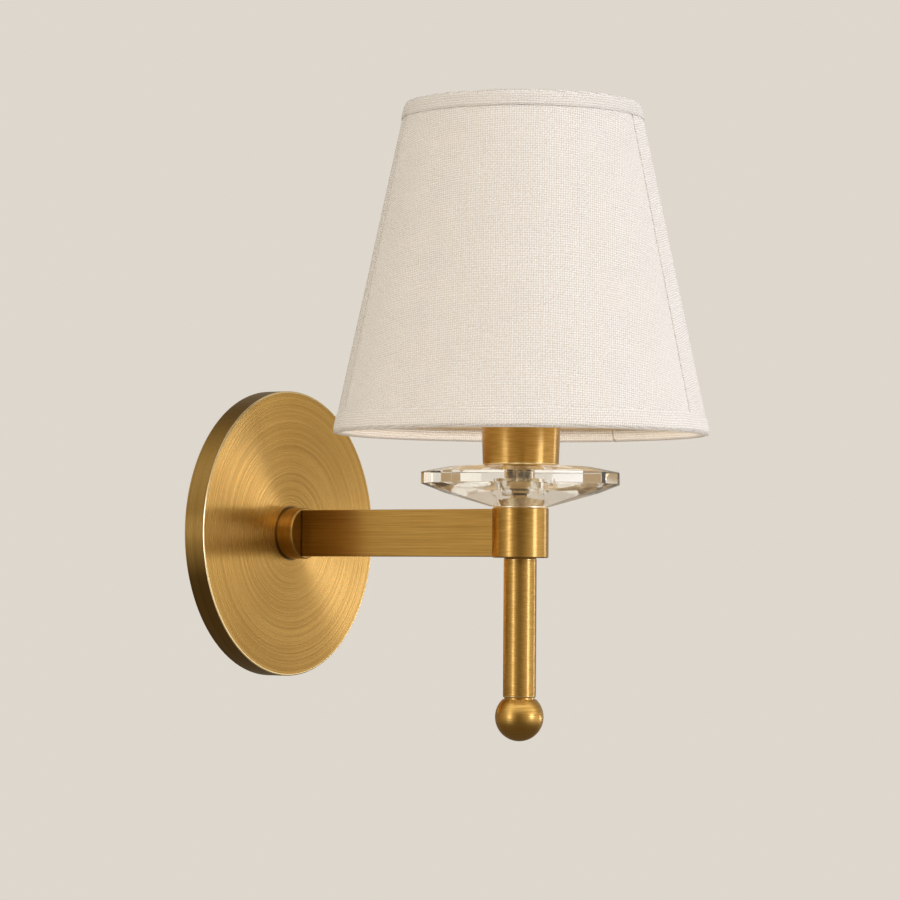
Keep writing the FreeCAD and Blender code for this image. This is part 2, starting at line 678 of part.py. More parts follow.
# --- Cup and lampholder ---------------------------------------------------------------------------
def make_cup():
    widening = CUP_HEIGHT * math.tan(math.radians(CUP_TAPER))
    floor_widening = CUP_FLOOR * math.tan(math.radians(CUP_TAPER))
    low_r = CUP_DIA / 2
    high_r = low_r + widening
    hole_r = STEM_DIA / 2 + NIPPLE_CLEARANCE
    cup = turned(
        [
            (hole_r, cup_bottom),
            (low_r - CUP_EDGE, cup_bottom),
            (low_r, cup_bottom + CUP_EDGE),
            (high_r, cup_top),
            (high_r - CUP_WALL, cup_top),
            (low_r + floor_widening - CUP_WALL, cup_bottom + CUP_FLOOR),
            (hole_r, cup_bottom + CUP_FLOOR),
        ]
    )
    keep("socket_cup", on_lamp(cup))
    nut = hexagon(CUP_NUT_FLATS, cup_bottom + CUP_FLOOR, cup_nut_top)
    nut = nut.cut(cylinder(STEM_DIA, cup_bottom, cup_nut_top))
    keep("cup_nut", on_lamp(nut))
    keep("stem_nipple", on_lamp(tube(STEM_DIA, STEM_BORE, chamber_top, stem_top)))


def make_holder():
    neck_top = cup_nut_top + HOLDER_NECK_HEIGHT
    cavity_floor = stem_top + HOLDER_WALL
    cap_r = HOLDER_CAP_DIA / 2
    cap = turned(
        [
            (STEM_DIA / 2, cup_nut_top),
            (HOLDER_NECK_DIA / 2, cup_nut_top),
            (HOLDER_NECK_DIA / 2, neck_top),
            (cap_r, neck_top + (cap_r - HOLDER_NECK_DIA / 2)),
            (cap_r, holder_cap_top),
            (cap_r - HOLDER_WALL, holder_cap_top),
            (cap_r - HOLDER_WALL, cavity_floor + HOLDER_WALL),
            (STEM_DIA / 2, stem_top),
        ]
    )
    keep("holder_cap", on_lamp(cap))
    skirt = tube(SKIRT_DIA, SKIRT_DIA - 2 * SKIRT_WALL, holder_cap_top, skirt_top)
    keep("holder_skirt", on_lamp(skirt))

    core_sleeve_dia = SHELL_BORE + 2 * SHELL_WALL
    core = cylinder(CORE_DIA, holder_cap_top, core_top)
    sleeve = tube(core_sleeve_dia + 2 * CORE_SLEEVE_WALL, core_sleeve_dia, core_top, shell_top)
    core = core.fuse(sleeve).removeSplitter()
    terminals = []
    rivets = []
    terminal_top = holder_cap_top + TERMINAL_HEIGHT
    for side in (-1, 1):
        y = side * TERMINAL_OFFSET
        half = TERMINAL_WIDTH / 2
        terminal = block((-half, half), (y - half, y + half), (holder_cap_top, terminal_top))
        core = core.cut(terminal)
        rivet = cylinder(RIVET_DIA, terminal_top, core_top, y=y)
        core = core.cut(rivet)
        rivets.append(rivet)
        terminals.append(terminal.cut(cylinder(LEAD_DIA, holder_cap_top, terminal_top, y=y)))
    keep("holder_core", on_lamp(core))
    keep("holder_terminals", on_lamp(Part.makeCompound(terminals)))
    keep("contact_rivets", on_lamp(Part.makeCompound(rivets)))

    shell = tube(core_sleeve_dia, SHELL_BORE, core_top, shell_top)
    floor = tube(core_sleeve_dia, SHELL_FLOOR_HOLE, core_top, core_top + SHELL_WALL)
    keep("screw_shell", on_lamp(shell.fuse(floor).removeSplitter()))

    half = CONTACT_WIDTH / 2
    foot_end = SHELL_FLOOR_HOLE / 2 - CONTACT_THICK
    rise = CONTACT_RISE
    outline = [
        (-foot_end, 0),
        (-half, 0),
        (-half, rise - CONTACT_THICK),
        (half, rise - CONTACT_THICK),
        (half, 0),
        (half + CONTACT_THICK, 0),
        (half + CONTACT_THICK, rise),
        (-half - CONTACT_THICK, rise),
        (-half - CONTACT_THICK, CONTACT_THICK),
        (-foot_end, CONTACT_THICK),
    ]
    points = [Vector(-half, y, core_top + z) for y, z in outline]
    strip = Part.Face(Part.makePolygon(points + points[:1])).extrude(Vector(CONTACT_WIDTH, 0, 0))
    keep("centre_contact", on_lamp(strip))


def make_clamp_ring():
    top = clamp_bottom + CLAMP_RING_HEIGHT
    ring = tube(CLAMP_RING_DIA, SKIRT_DIA, clamp_bottom, top)
    grip_r = CLAMP_RING_DIA / 2 + CLAMP_RING_GRIP_OUT
    grips = []
    for index in range(CLAMP_RING_GRIPS):
        grip = cylinder(CLAMP_RING_GRIP_DIA, clamp_bottom, top, x=grip_r)
        grips.append(turned_copy(grip, 360 / CLAMP_RING_GRIPS * index))
    keep("shade_clamp_ring", on_lamp(ring.cut(grips)))


# --- Shade ----------------------------------------------------------------------------------------
def shade_radius(height):
    """The radius of the outside of the linen at this height."""
    share = (height - shade_bottom) / SHADE_HEIGHT
    return SHADE_BOTTOM_DIA / 2 + share * (SHADE_TOP_DIA - SHADE_BOTTOM_DIA) / 2


def cone_wall(low, high, depth_out, depth_in):
    """A conical wall between two depths measured inwards from the outside of the linen."""
    return turned(
        [
            (shade_radius(low) - depth_in, low),
            (shade_radius(low) - depth_out, low),
            (shade_radius(high) - depth_out, high),
            (shade_radius(high) - depth_in, high),
        ]
    )


def edge_band(edge, face_end, turn_in_end, outward):
    """Tape folded round a wire at the shade's edge; outward is -1 at the bottom, 1 at the top."""
    skin = COVER_THICK + LINER_THICK + WIRE_DIA + BAND_GLUE
    face = BAND_GLUE + BAND_THICK
    past = edge + outward * BAND_THICK
    return turned(
        [
            (shade_radius(face_end) + face, face_end),
            (shade_radius(past) + face, past),
            (shade_radius(past) - skin - BAND_THICK, past),
            (shade_radius(turn_in_end) - skin - BAND_THICK, turn_in_end),
            (shade_radius(turn_in_end) - skin, turn_in_end),
            (shade_radius(edge) - skin, edge),
            (shade_radius(edge) + BAND_GLUE, edge),
            (shade_radius(face_end) + BAND_GLUE, face_end),
        ]
    )


def wire_ring(height):
    lean = math.atan((SHADE_BOTTOM_DIA - SHADE_TOP_DIA) / 2 / SHADE_HEIGHT)
    inside = shade_radius(height) - COVER_THICK - LINER_THICK
    centre_r = inside - WIRE_DIA / 2 / math.cos(lean)
    return Part.makeTorus(centre_r, WIRE_DIA / 2, Vector(0, 0, height)), centre_r


def make_shade():
    skin = COVER_THICK + LINER_THICK
    keep("shade_cover", on_lamp(cone_wall(cover_bottom, cover_top, 0, COVER_THICK)))
    keep("shade_liner", on_lamp(cone_wall(cover_bottom, cover_top, COVER_THICK, skin)))
    low_band_end = shade_bottom + BOTTOM_BAND_HEIGHT
    low_turn = cover_bottom + BAND_TURN_IN
    keep("shade_bottom_band", on_lamp(edge_band(cover_bottom, low_band_end, low_turn, -1)))
    high_band_end = shade_top - TOP_BAND_HEIGHT
    high_turn = cover_top - BAND_TURN_IN
    keep("shade_top_band", on_lamp(edge_band(cover_top, high_band_end, high_turn, 1)))

    low_height = cover_bottom + WIRE_DIA / 2
    bottom_wire, bottom_r = wire_ring(low_height)
    top_wire, _ = wire_ring(cover_top - WIRE_DIA / 2)
    keep("bottom_wire", on_lamp(bottom_wire))
    keep("top_wire", on_lamp(top_wire))

    ring_bore = SKIRT_DIA + 2 * CARRIER_CLEARANCE
    carrier = tube(CARRIER_DIA, ring_bore, carrier_bottom, carrier_top)
    keep("carrier_ring", on_lamp(carrier))

    # Each spoke drops from the carrier's edge to the inside of the tape, over the lower wire.
    start = Vector(CARRIER_DIA / 2, 0, (carrier_bottom + carrier_top) / 2)
    end = Vector(bottom_r, 0, low_height + WIRE_DIA / 2 + SPOKE_DIA / 2)
    clear_r = shade_radius(low_height) - skin - WIRE_DIA
    bend = Vector(clear_r - 2 * SPOKE_DIA, 0, end.z + SPOKE_DIA)
    spoke = cable([start, bend, end], SPOKE_DIA, [2 * SPOKE_DIA])
    spoke = spoke.cut([carrier, bottom_wire])
    wall = cone_wall(cover_bottom, cover_top, 0, skin)
    band = edge_band(cover_bottom, low_band_end, low_turn, -1)
    spoke = spoke.cut([wall, band])
    for number, angle in enumerate(SPOKE_ANGLES, 1):
        keep(f"spoke_{number}", on_lamp(turned_copy(spoke, angle)))


# --- Bulb -----------------------------------------------------------------------------------------
def candle_outline(inset):
    """The candle bulb's outline from its neck to its tip, moved inwards by inset."""
    neck_r = BULB_CAP_DIA / 2 - BULB_CAP_WALL - inset
    belly_r = BULB_DIA / 2 - inset
    tall = bulb_top - cap_top
    outline = [Vector(neck_r, 0, cap_top)]
    for out, up in CANDLE_SHOULDER:
        outline.append(Vector(neck_r + out * (belly_r - neck_r), 0, cap_top + up * tall))
    outline.append(Vector(belly_r, 0, cap_top + CANDLE_BELLY * tall))
    for out, up in CANDLE_SPIRE:
        outline.append(Vector(out * belly_r, 0, cap_top + up * tall))
    outline.append(Vector(0, 0, bulb_top - inset))
    return outline


def make_bulb():
    keep("bulb_contact", on_lamp(cylinder(BULB_TIP_DIA, tip_bottom, insulator_bottom)))
    cap_r = BULB_CAP_DIA / 2
    insulator = turned(
        [
            (0, insulator_bottom),
            (BULB_TIP_DIA / 2, insulator_bottom),
            (cap_r - BULB_CAP_FLOOR, cap_bottom),
            (0, cap_bottom),
        ]
    )
    keep("bulb_insulator", on_lamp(insulator))
    inner = cap_r - BULB_CAP_WALL
    cap = turned(
        [
            (0, cap_bottom),
            (cap_r - BULB_CAP_FLOOR, cap_bottom),
            (cap_r, cap_bottom + BULB_CAP_FLOOR),
            (cap_r, cap_top),
            (inner, cap_top),
            (inner, cap_bottom + BULB_CAP_FLOOR),
            (0, cap_bottom + BULB_CAP_FLOOR),
        ]
    )
    keep("bulb_cap", on_lamp(cap))

    outside = candle_outline(0)
    inside = candle_outline(BULB_GLASS_WALL)
    curves = []
    for outline in (outside, inside):
        curve = Part.BSplineCurve()
        closing = Vector(-1, 0, CANDLE_TIP_RISE)
        curve.interpolate(outline, InitialTangent=Vector(0, 0, 1), FinalTangent=closing)
        curves.append(curve.toShape())
    low_out = Vector(outside[0].x, 0, neck_bottom)
    low_in = Vector(inside[0].x, 0, neck_bottom)
    edges = [
        curves[0],
        Part.makeLine(outside[-1], inside[-1]),
        curves[1],
        Part.makeLine(inside[0], low_in),
        Part.makeLine(low_in, low_out),
        Part.makeLine(low_out, outside[0]),
    ]
    wire = Part.Wire(Part.sortEdges(edges)[0])
    glass = Part.Face(wire).revolve(Vector(), Z_AXIS, 360)
    keep("bulb_glass", on_lamp(glass))

    stem_r = BULB_STEM_DIA / 2
    stem_end = neck_bottom + BULB_STEM_HEIGHT
    flare_top = neck_bottom + BULB_STEM_DIA / 2
    stem = turned(
        [
            (0, neck_bottom),
            (inside[0].x, neck_bottom),
            (inside[0].x, neck_bottom + BULB_GLASS_WALL),
            (stem_r, flare_top),
            (stem_r, stem_end),
            (0, stem_end),
        ]
    )
    keep("bulb_stem", on_lamp(stem))
    stick = cylinder(FILAMENT_DIA, 0, FILAMENT_LENGTH)
    stick.rotate(Vector(), Vector(0, 1, 0), FILAMENT_LEAN)
    stick.translate(Vector(stem_r - FILAMENT_DIA, 0, stem_end - FILAMENT_DIA))
    stick = stick.cut(stem)
    sticks = [turned_copy(stick, 360 / FILAMENT_COUNT * i + 45) for i in range(FILAMENT_COUNT)]
    keep("bulb_filaments", on_lamp(Part.makeCompound(sticks)))


# --- Wiring ---------------------------------------------------------------------------------------
def make_leads():
    port_y = -block_mid
    lead_end = BLOCK_OFFSET - POLE_SCREW_SPACING / 2 + POLE_SCREW_DIA / 2
    approach = block_near - LEAD_RUN_IN
    terminal_in = holder_cap_top + TERMINAL_HEIGHT / 2
    for name, side in (("lead_live", 1), ("lead_neutral", -1)):
        offset = side * LEAD_PITCH / 2
        terminal_y = -REACH + side * TERMINAL_OFFSET
        stem_y = -REACH + offset
        port_z = POLE_PITCH if side > 0 else 0.0
        collar_bend = LEAD_COLLAR_BEND if side > 0 else LEAD_COLLAR_BEND + LEAD_PITCH
        route = [
            Vector(0, terminal_y, terminal_in),
            Vector(0, terminal_y, stem_top + LEAD_FAN_RISE),
            Vector(0, stem_y, stem_top - LEAD_SAG),
            Vector(0, stem_y, offset),
            Vector(0, -LEAD_DIP, offset),
            Vector(approach / 2, -LEAD_DIP - LEAD_SAG, (offset + port_z) / 2),
            Vector(approach, port_y, port_z),
            Vector(lead_end, port_y, port_z),
        ]
        bends = [LEAD_BEND, LEAD_BEND, collar_bend, LEAD_MOUTH_BEND, LEAD_BEND, LEAD_BEND]
        print(name)
        keep(name, cable(route, LEAD_DIA, bends))
    tag_z = -EARTH_DROP
    tag_y = -BRACKET_THICK - TAG_BARREL_DIA / 2
    barrel_end = TAG_DIA / 2 + TAG_BARREL_LENGTH
    route = [
        Vector(TAG_DIA / 2 + LEAD_TAG_INSERT, tag_y, tag_z),
        Vector(barrel_end + LEAD_TAG_RUN, tag_y, tag_z),
        Vector(block_near - LEAD_EARTH_RUN_IN, port_y, -POLE_PITCH),
        Vector(lead_end, port_y, -POLE_PITCH),
    ]
    print("lead_earth")
    keep("lead_earth", cable(route, LEAD_DIA, [LEAD_BEND, LEAD_BEND]))


def main():
    make_canopy()
    make_bracket()
    make_canopy_screws()
    make_terminal_block()
    make_earth_point()
    make_arm_fixing()
    make_boss()
    make_arm()
    make_collar()
    make_drop()
    make_crystal()
    make_cup()
    make_holder()
    make_clamp_ring()
    make_shade()
    make_bulb()
    make_leads()
    os.makedirs("parts", exist_ok=True)
    for name, shape in PARTS.items():
        if not shape.isValid():
            print("not valid:", name)
        shape.exportStep(f"parts/{name}.step")
    print(len(PARTS), "parts")


main()
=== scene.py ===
"""Looks of the fabric shade wall light: linen shade, brushed brass, cut crystal and lampholder."""

import math

import bmesh
import bpy
from mathutils import Matrix, Vector, noise


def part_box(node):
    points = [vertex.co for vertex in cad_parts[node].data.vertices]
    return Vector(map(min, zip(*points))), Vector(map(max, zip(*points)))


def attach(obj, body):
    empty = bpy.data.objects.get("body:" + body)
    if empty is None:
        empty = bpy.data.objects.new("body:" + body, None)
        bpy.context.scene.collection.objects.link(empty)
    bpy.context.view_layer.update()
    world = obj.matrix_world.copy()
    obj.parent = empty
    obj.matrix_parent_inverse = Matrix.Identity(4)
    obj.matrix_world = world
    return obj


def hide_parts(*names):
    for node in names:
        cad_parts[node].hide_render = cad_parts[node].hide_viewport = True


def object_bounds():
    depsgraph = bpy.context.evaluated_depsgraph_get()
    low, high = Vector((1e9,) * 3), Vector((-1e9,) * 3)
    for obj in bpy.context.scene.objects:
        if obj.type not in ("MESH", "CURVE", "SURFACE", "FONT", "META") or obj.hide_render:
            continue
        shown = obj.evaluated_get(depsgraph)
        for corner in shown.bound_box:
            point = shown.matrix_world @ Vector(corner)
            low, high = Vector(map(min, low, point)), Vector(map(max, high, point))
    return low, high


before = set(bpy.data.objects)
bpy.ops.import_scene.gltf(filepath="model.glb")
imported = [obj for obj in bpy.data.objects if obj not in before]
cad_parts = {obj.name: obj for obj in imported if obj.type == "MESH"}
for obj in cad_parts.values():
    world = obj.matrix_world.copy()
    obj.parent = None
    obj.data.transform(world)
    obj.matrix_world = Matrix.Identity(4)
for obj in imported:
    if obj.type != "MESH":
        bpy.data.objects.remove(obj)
CAD_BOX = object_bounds()

# --- Places, in metres ----------------------------------------------------------------------------
COLLAR_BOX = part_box("collar")
LAMP_Y = (COLLAR_BOX[0].y + COLLAR_BOX[1].y) / 2
COVER_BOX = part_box("shade_cover")
BOTTOM_BAND_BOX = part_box("shade_bottom_band")
TOP_BAND_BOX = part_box("shade_top_band")
BOSS_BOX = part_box("arm_boss")
ARM_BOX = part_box("arm_tube")

BOSS_RADIUS = (BOSS_BOX[1].z - BOSS_BOX[0].z) / 2
COLLAR_RADIUS = (COLLAR_BOX[1].x - COLLAR_BOX[0].x) / 2
ARM_START = -BOSS_BOX[0].y  # from the wall
ARM_END = -LAMP_Y - math.sqrt(COLLAR_RADIUS ** 2 - ARM_BOX[0].x ** 2)

SHADE_LOW = BOTTOM_BAND_BOX[0].z
SHADE_HIGH = TOP_BAND_BOX[1].z
SHADE_BOTTOM_R = 0.0760
SHADE_TOP_R = 0.0476
LINEN_THICK = 0.0006

SEAM_ANGLES = (143.8, 277.8, 390.8)  # degrees about the lamp's axis from +X
SEAM_LAP = 0.0024  # one panel over the next
SEAM_LIFT = 0.00034
SEAM_RISE = 0.009  # length over which a panel rises to its lap
LAP_STEEPNESS = 2.5  # how much faster the cover falls back beyond a lap
PANEL_STEP = 0.0009
PANEL_ROWS = 48
CLOTH_WAVE = 0.00010
CLOTH_WAVE_LENGTH = 0.024

TAPE_THICK = 0.00034
TAPE_EDGE = 0.00022  # outside of the tape's thin free edge from the outside of the linen
TAPE_EDGE_RUN = 0.0010  # height over which the free edge comes to the tape's full thickness
TAPE_OUT = 0.00040  # outside of the tape from the outside of the linen
TAPE_INSIDE = 0.0044  # inside of the tape from the outside of the linen
TAPE_TURN_IN = 0.0048
BOTTOM_TAPE_HEIGHT = 0.0080
TOP_TAPE_HEIGHT = 0.0068
TAPE_SEGMENTS = 540
TAPE_ROLL_STEPS = 14
TAPE_WAVE = 0.00016  # how far the free edge strays up and down
TAPE_WAVE_RADIUS = 9.0  # of the circle on which the noise for that is read

EDGE_ROUNDING = 0.00028
BOSS_ROUNDING = 0.00060
ROUNDING_SEGMENTS = 3
HARD_EDGE = 30  # degrees
BEVEL_FROM = 0.0091  # of the wall plate's rim bevel, from the wall
BEVEL_INSIDE = 0.0592  # radius
BEVEL_DROP = 0.00036  # how far the bevel falls back at the rim
BEVEL_FALL = (0.0002, 0.0012)  # the bevel's outer edge lies this far behind the plate's face
CRYSTAL_CLEAR = 0.00004  # between the crystal and each washer
CRYSTAL_FOOT_RADIUS = 0.0112
CRYSTAL_EASING = 0.00016
FACET_EDGE = 2  # degrees
SAME_POINT = 0.000002
SAME_PLANE = 0.3  # degrees

# --- Camera ---------------------------------------------------------------------------------------
CAMERA_AT = (-1.20432, -0.89583, -0.01969)
CAMERA_AZIMUTH = -56.22
CAMERA_PITCH = 2.122
CAMERA_ROLL = 0.396
CAMERA_LENS = 141.56
CAMERA_SENSOR = 36.0

# --- Stage ----------------------------------------------------------------------------------------
BACKGROUND = (0.730, 0.680, 0.610)
FLOOR_COLOUR = (0.730, 0.680, 0.610)
FLOOR_ROUGHNESS = 0.9
FLOOR_DROP = 0.20  # below the lowest point of the light
FLOOR_RADIUS = 1.1
FLOOR_FADE_FROM = 0.45
FLOOR_SIDES = 96

# Panels are placed by degrees to the camera's right and degrees up, as the light fitting sees them.
WHITE_PANEL = (1.0, 0.975, 0.94)
WARM_SHADE = (1.0, 0.80, 0.47)
RING_TOP = 2.5
ROOM_RING = (  # (degrees, level, 0 for warm to 1 for white)
    (-180, 0.30, 0.6),
    (-155, 0.22, 0.2),
    (-110, 0.33, 0.1),
    (-86, 0.50, 0.2),
    (-66, 0.72, 0.5),
    (-55, 1.55, 1.0),
    (-43, 1.55, 1.0),
    (-32, 0.60, 0.4),
    (-10, 0.21, 0.0),
    (4, 0.22, 0.0),
    (20, 0.42, 0.2),
    (36, 0.70, 0.5),
    (50, 1.05, 0.8),
    (76, 1.12, 0.8),
    (94, 0.84, 0.7),
    (106, 0.54, 0.5),
    (120, 0.46, 0.4),
    (140, 0.45, 0.5),
    (180, 0.30, 0.6),
)
SOFT_PANELS = (  # ((degrees, degrees up), (half width, half height), lean, feather, colour)
    ((79, 25), (13, 3.5), -42, 3, (1.90, 1.92, 2.05)),
    ((61, 3), (7, 6), 0, 3, (7.0, 7.4, 9.4)),
    ((-48, 4), (4, 7), 0, 3, (4.30, 4.40, 5.10)),
    ((121.5, -3.4), (6.5, 2.8), -28, 1.2, (7.50, 7.70, 8.60)),
    ((104, -7), (17, 6), 0, 6, (1.32, 1.24, 1.06)),
)
CEILING = (1.50, 1.46, 1.38)
CEILING_FROM_TO = (0.28, 0.80)  # heights on a sphere of radius 1
CEILING_HALF_WIDTH = 82
CEILING_FEATHER = 14
GROUND = (0.150, 0.122, 0.085)
GROUND_FROM_TO = (-0.06, -0.50)
GLASS_CARDS = ((0.400, 0.245, 0.095), (1.200, 1.150, 1.050))
CARD_BANDS = (11.0, -9.0, 8.0)  # how fast the bands turn along X, Y and Z
CARD_EDGE = (-0.55, 0.05)  # from a dark card to a white one, on the bands' wave
CARD_SHARE = 0.85
SEEN_THROUGH_GLASS = (0.93, 0.985)  # glass shows the plain backdrop in directions this near straight ahead

CLOTH_LIGHTS = (  # (name, degrees, degrees up, watts, colour)
    ("left_fill", -35, 8, 8.2, (1.0, 0.93, 0.83)),
    ("right_fill", 80, 8, 15.8, (0.94, 1.00, 1.11)),
    ("low_fill", -5, -40, 5.8, (1.0, 0.97, 0.93)),
)
CLOTH_LIGHT_DISTANCE = 1.8
CLOTH_LIGHT_SIZE = 1.4
LINING_FILL = 0.045  # watts
LINING_FILL_COLOUR = (1.0, 0.94, 0.84)

# --- Metals ---------------------------------------------------------------------------------------
BRASS_LIGHT = (0.700, 0.432, 0.118)
BRASS_DARK = (0.500, 0.278, 0.058)
# rubbed edges: their lighter colour is partly real wear and partly a painted highlight
RUBBED_HIGHLIGHT_BRASS = (0.95, 0.79, 0.47)
SPUN_GRAIN = ((0.00030, 0.45), (0.00062, 0.45))  # (pitch, run) of the fine lines and of the coarse ones
BOSS_GRAIN = ((0.00034, 0.8), (0.0010, 0.6))
TURNED_GRAIN = ((0.00026, 2.4), (0.0009, 1.4))
DRAWN_GRAIN = ((0.00028, 0.030), (0.0010, 0.060))
BALL_GRAIN = ((0.00030, 1.0), (0.0012, 0.8))
LINE_STRENGTH = 0.30  # how strongly the brushed lines tilt the surface
SPUN_LINE_STRENGTH = 0.11
LINE_DEPTH = 0.000008
LINE_SHARES = (0.92, 0.08)  # of the fine lines and the coarse ones
TONE_SHARES = (0.85, 0.15)  # of the lines and the clouds
BRASS_CLOUDS = 38.0
TONE_RANGE = (0.36, 0.64)
GLOSS_RANGE = (0.35, 0.65)
GLOSS_SPREAD = (1.12, 0.88)
LACQUER = 0.20
LACQUER_ROUGHNESS = 0.20
LACQUER_IOR = 1.6
ACROSS_LINES = 0.25  # of a turn from the tangent, so highlights stretch across the lines
RIM_PAINTED_SHADE = 0.54  # painted shade: how much darker the colour is round the wall plate's rim
RIM_RADIUS = 0.0597
RIM_BLUR = 0.0001
JOINT_PAINTED_SHADOW = 0.13  # painted contact shadow: how dark the colour is in a joint between parts
BOSS_SHADOW_BAND = (0.0002, 0.0012)  # of the painted contact shadow round the boss, from the boss's side
# how far the painted contact shadow reaches along the arm from each of its joints
ARM_SHADOW_BAND = 0.0007
ARM_PAINTED_SHADE = 0.55  # painted shade: how dark the colour is at the arm's wall end
ARM_PAINTED_SHADE_RUN = 0.032
WEAR_SCALE = 320.0
WEAR_DEPTH = 0.00002
WEAR_STRENGTH = 0.4
SMALL_METALS = (  # (material, colour, roughness, CAD nodes)
    (
        "plain_brass", (0.66, 0.47, 0.20), 0.30,
        ("stem_nipple", "arm_nipple", "arm_locknut", "cup_nut",
         "terminal_sleeves", "holder_terminals", "contact_rivets"),
    ),
    (
        "zinc_steel", (0.62, 0.64, 0.66), 0.34,
        ("wall_bracket", "canopy_grub_screws", "earth_screw", "terminal_screws",
         "block_screws", "arm_lock_washer", "drop_stud", "finial_stud"),
    ),
    ("nickel", (0.70, 0.68, 0.64), 0.24, ("screw_shell", "bulb_cap", "earth_tag")),
    ("spring_bronze", (0.66, 0.42, 0.24), 0.30, ("centre_contact",)),
    ("solder", (0.52, 0.52, 0.53), 0.42, ("bulb_contact",)),
    ("washer_on_brass", (0.92, 0.80, 0.56), 0.35, ("crystal_lower_washer", "crystal_upper_washer")),
)

# --- Glass and plastics ---------------------------------------------------------------------------
CRYSTAL_COLOUR = (0.99, 0.97, 0.92)
CRYSTAL_IOR = 1.40
CRYSTAL_CLARITY = 0.96
CLEAR_PLASTIC_COLOUR = (0.98, 0.97, 0.95)
CLEAR_PLASTIC_IOR = 1.20
BULB_GLASS_COLOUR = (0.99, 0.99, 0.985)
BULB_GLASS_IOR = 1.45
SKIN_SCALE = 900.0
POWDER_SCALE = 1600.0
SKIN_DEPTH = 0.00003
SKIN_STRENGTH = 0.3
MOULDED_CLOUDS = 60.0
MOULDED_DARKER = 0.92
MOULDINGS = (  # (material, colour, roughness, scale of its skin, CAD nodes)
    (
        "white_powder_coat", (0.80, 0.79, 0.76), 0.40, POWDER_SCALE,
        ("carrier_ring", "spoke_1", "spoke_2", "spoke_3", "bottom_wire", "top_wire"),
    ),
    (
        "white_plastic", (0.80, 0.79, 0.75), 0.34, SKIN_SCALE,
        ("terminal_block", "holder_cap", "holder_core", "holder_skirt", "shade_clamp_ring"),
    ),
    ("black_glass", (0.02, 0.02, 0.025), 0.12, SKIN_SCALE, ("bulb_insulator",)),
    ("filament", (0.80, 0.55, 0.12), 0.60, SKIN_SCALE, ("bulb_filaments",)),
    ("brown_pvc", (0.15, 0.06, 0.03), 0.42, SKIN_SCALE, ("lead_live",)),
    ("blue_pvc", (0.03, 0.10, 0.40), 0.42, SKIN_SCALE, ("lead_neutral",)),
    ("green_pvc", (0.12, 0.30, 0.05), 0.42, SKIN_SCALE, ("lead_earth",)),
)

# --- Cloth ----------------------------------------------------------------------------------------
LINEN_PITCH = 0.00094
LINEN_LIGHT = (0.930, 0.915, 0.905)
LINEN_DARK = (0.670, 0.580, 0.485)
LINEN_RELIEF = 0.00044
LINING_LIGHT = (0.900, 0.775, 0.575)
LINING_DARK = (0.760, 0.620, 0.430)
LINING_RELIEF = 0.00006
RELIEF_STRENGTH = 0.9
LINEN_ROUGHNESS = 0.92
LINEN_FUZZ = 0.12
FUZZ_ROUGHNESS = 0.6
THREAD_DRIFT = 1.6  # how far the threads stray sideways, in threads
DRIFT_SCALES = (("X", 55.0), ("Y", 63.0))  # how often warp and weft stray
CROSSING = (-0.2, 0.2)  # how softly one thread dips under another
WARP_SLUBS = 42.0  # thick and thin stretches along a metre of thread
WEFT_SLUBS = 30.0
SLUB_RANGE = (0.34, 0.62)
THIN_THREAD = (0.6, 1.0)  # relief of thin and thick threads
LINEN_CLOUDS = 26.0
LINEN_FLECKS = 1150.0
# How tone follows each measure: (from, to, tone at from, tone at to).
# the low and open places of the weave are darker: painted shade between the threads
HEIGHT_TONE = (0.10, 0.85, 0.60, 1.0)
GAP_TONE = (0.05, 0.75, 1.0, 0.40)
THREAD_TONE = (0.0, 1.0, 0.78, 1.0)
CLOUD_TONE = (0.3, 0.7, 0.93, 1.0)
FLECK_TONE = (0.3, 0.55, 0.50, 1.0)


# --- Node helpers ---------------------------------------------------------------------------------
def add_node(tree, kind, inputs=None, **settings):
    """A new node. Its inputs are given by name or number, as a value or as another node's output."""
    node = tree.nodes.new("ShaderNode" + kind)
    for name, value in settings.items():
        setattr(node, name, value)
    for key, value in (inputs or {}).items():
        if isinstance(value, bpy.types.NodeSocket):
            tree.links.new(value, node.inputs[key])
        else:
            node.inputs[key].default_value = value
    return node


def maths(tree, operation, *values):
    """The result of a Math node."""
    return add_node(tree, "Math", dict(enumerate(values)), operation=operation).outputs[0]


def vector_maths(tree, operation, *values):
    """The result of a Vector Math node."""
    node = add_node(tree, "VectorMath", dict(enumerate(values)), operation=operation)
    return node.outputs["Value" if operation in ("LENGTH", "DOT_PRODUCT") else "Vector"]


def scaled(tree, vector, factor):
    """A vector or a colour times a number."""
    node = add_node(tree, "VectorMath", {0: vector, "Scale": factor}, operation="SCALE")
    return node.outputs["Vector"]


def combined(tree, x, y, z=0.0):
    return add_node(tree, "CombineXYZ", {"X": x, "Y": y, "Z": z}).outputs[0]


def separated(tree, vector):
    """The outputs X, Y and Z of a vector."""
    return add_node(tree, "SeparateXYZ", {0: vector}).outputs


def coordinates(tree, kind="Object"):
    return add_node(tree, "TexCoord").outputs[kind]


def noise_value(tree, vector, scale=1.0, detail=2.0, rough=0.5):
    inputs = {"Vector": vector, "Scale": scale, "Detail": detail, "Roughness": rough}
    return add_node(tree, "TexNoise", inputs).outputs[0]


def remap(tree, value, low, high, to_low=0.0, to_high=1.0):
    """A value taken from the range low..high to another range, held at its ends."""
    inputs = {"Value": value, 1: low, 2: high, 3: to_low, 4: to_high}
    return add_node(tree, "MapRange", inputs).outputs[0]


def mix_colour(tree, share, first, second):
    return add_node(tree, "Mix", {0: share, 6: first, 7: second}, data_type="RGBA").outputs[2]


def blended(tree, values, shares):
    """The sum of two values, each times its share."""
    parts = [maths(tree, "MULTIPLY", value, share) for value, share in zip(values, shares)]
    return maths(tree, "ADD", *parts)


def rgb(colour):
    return (*colour, 1.0)


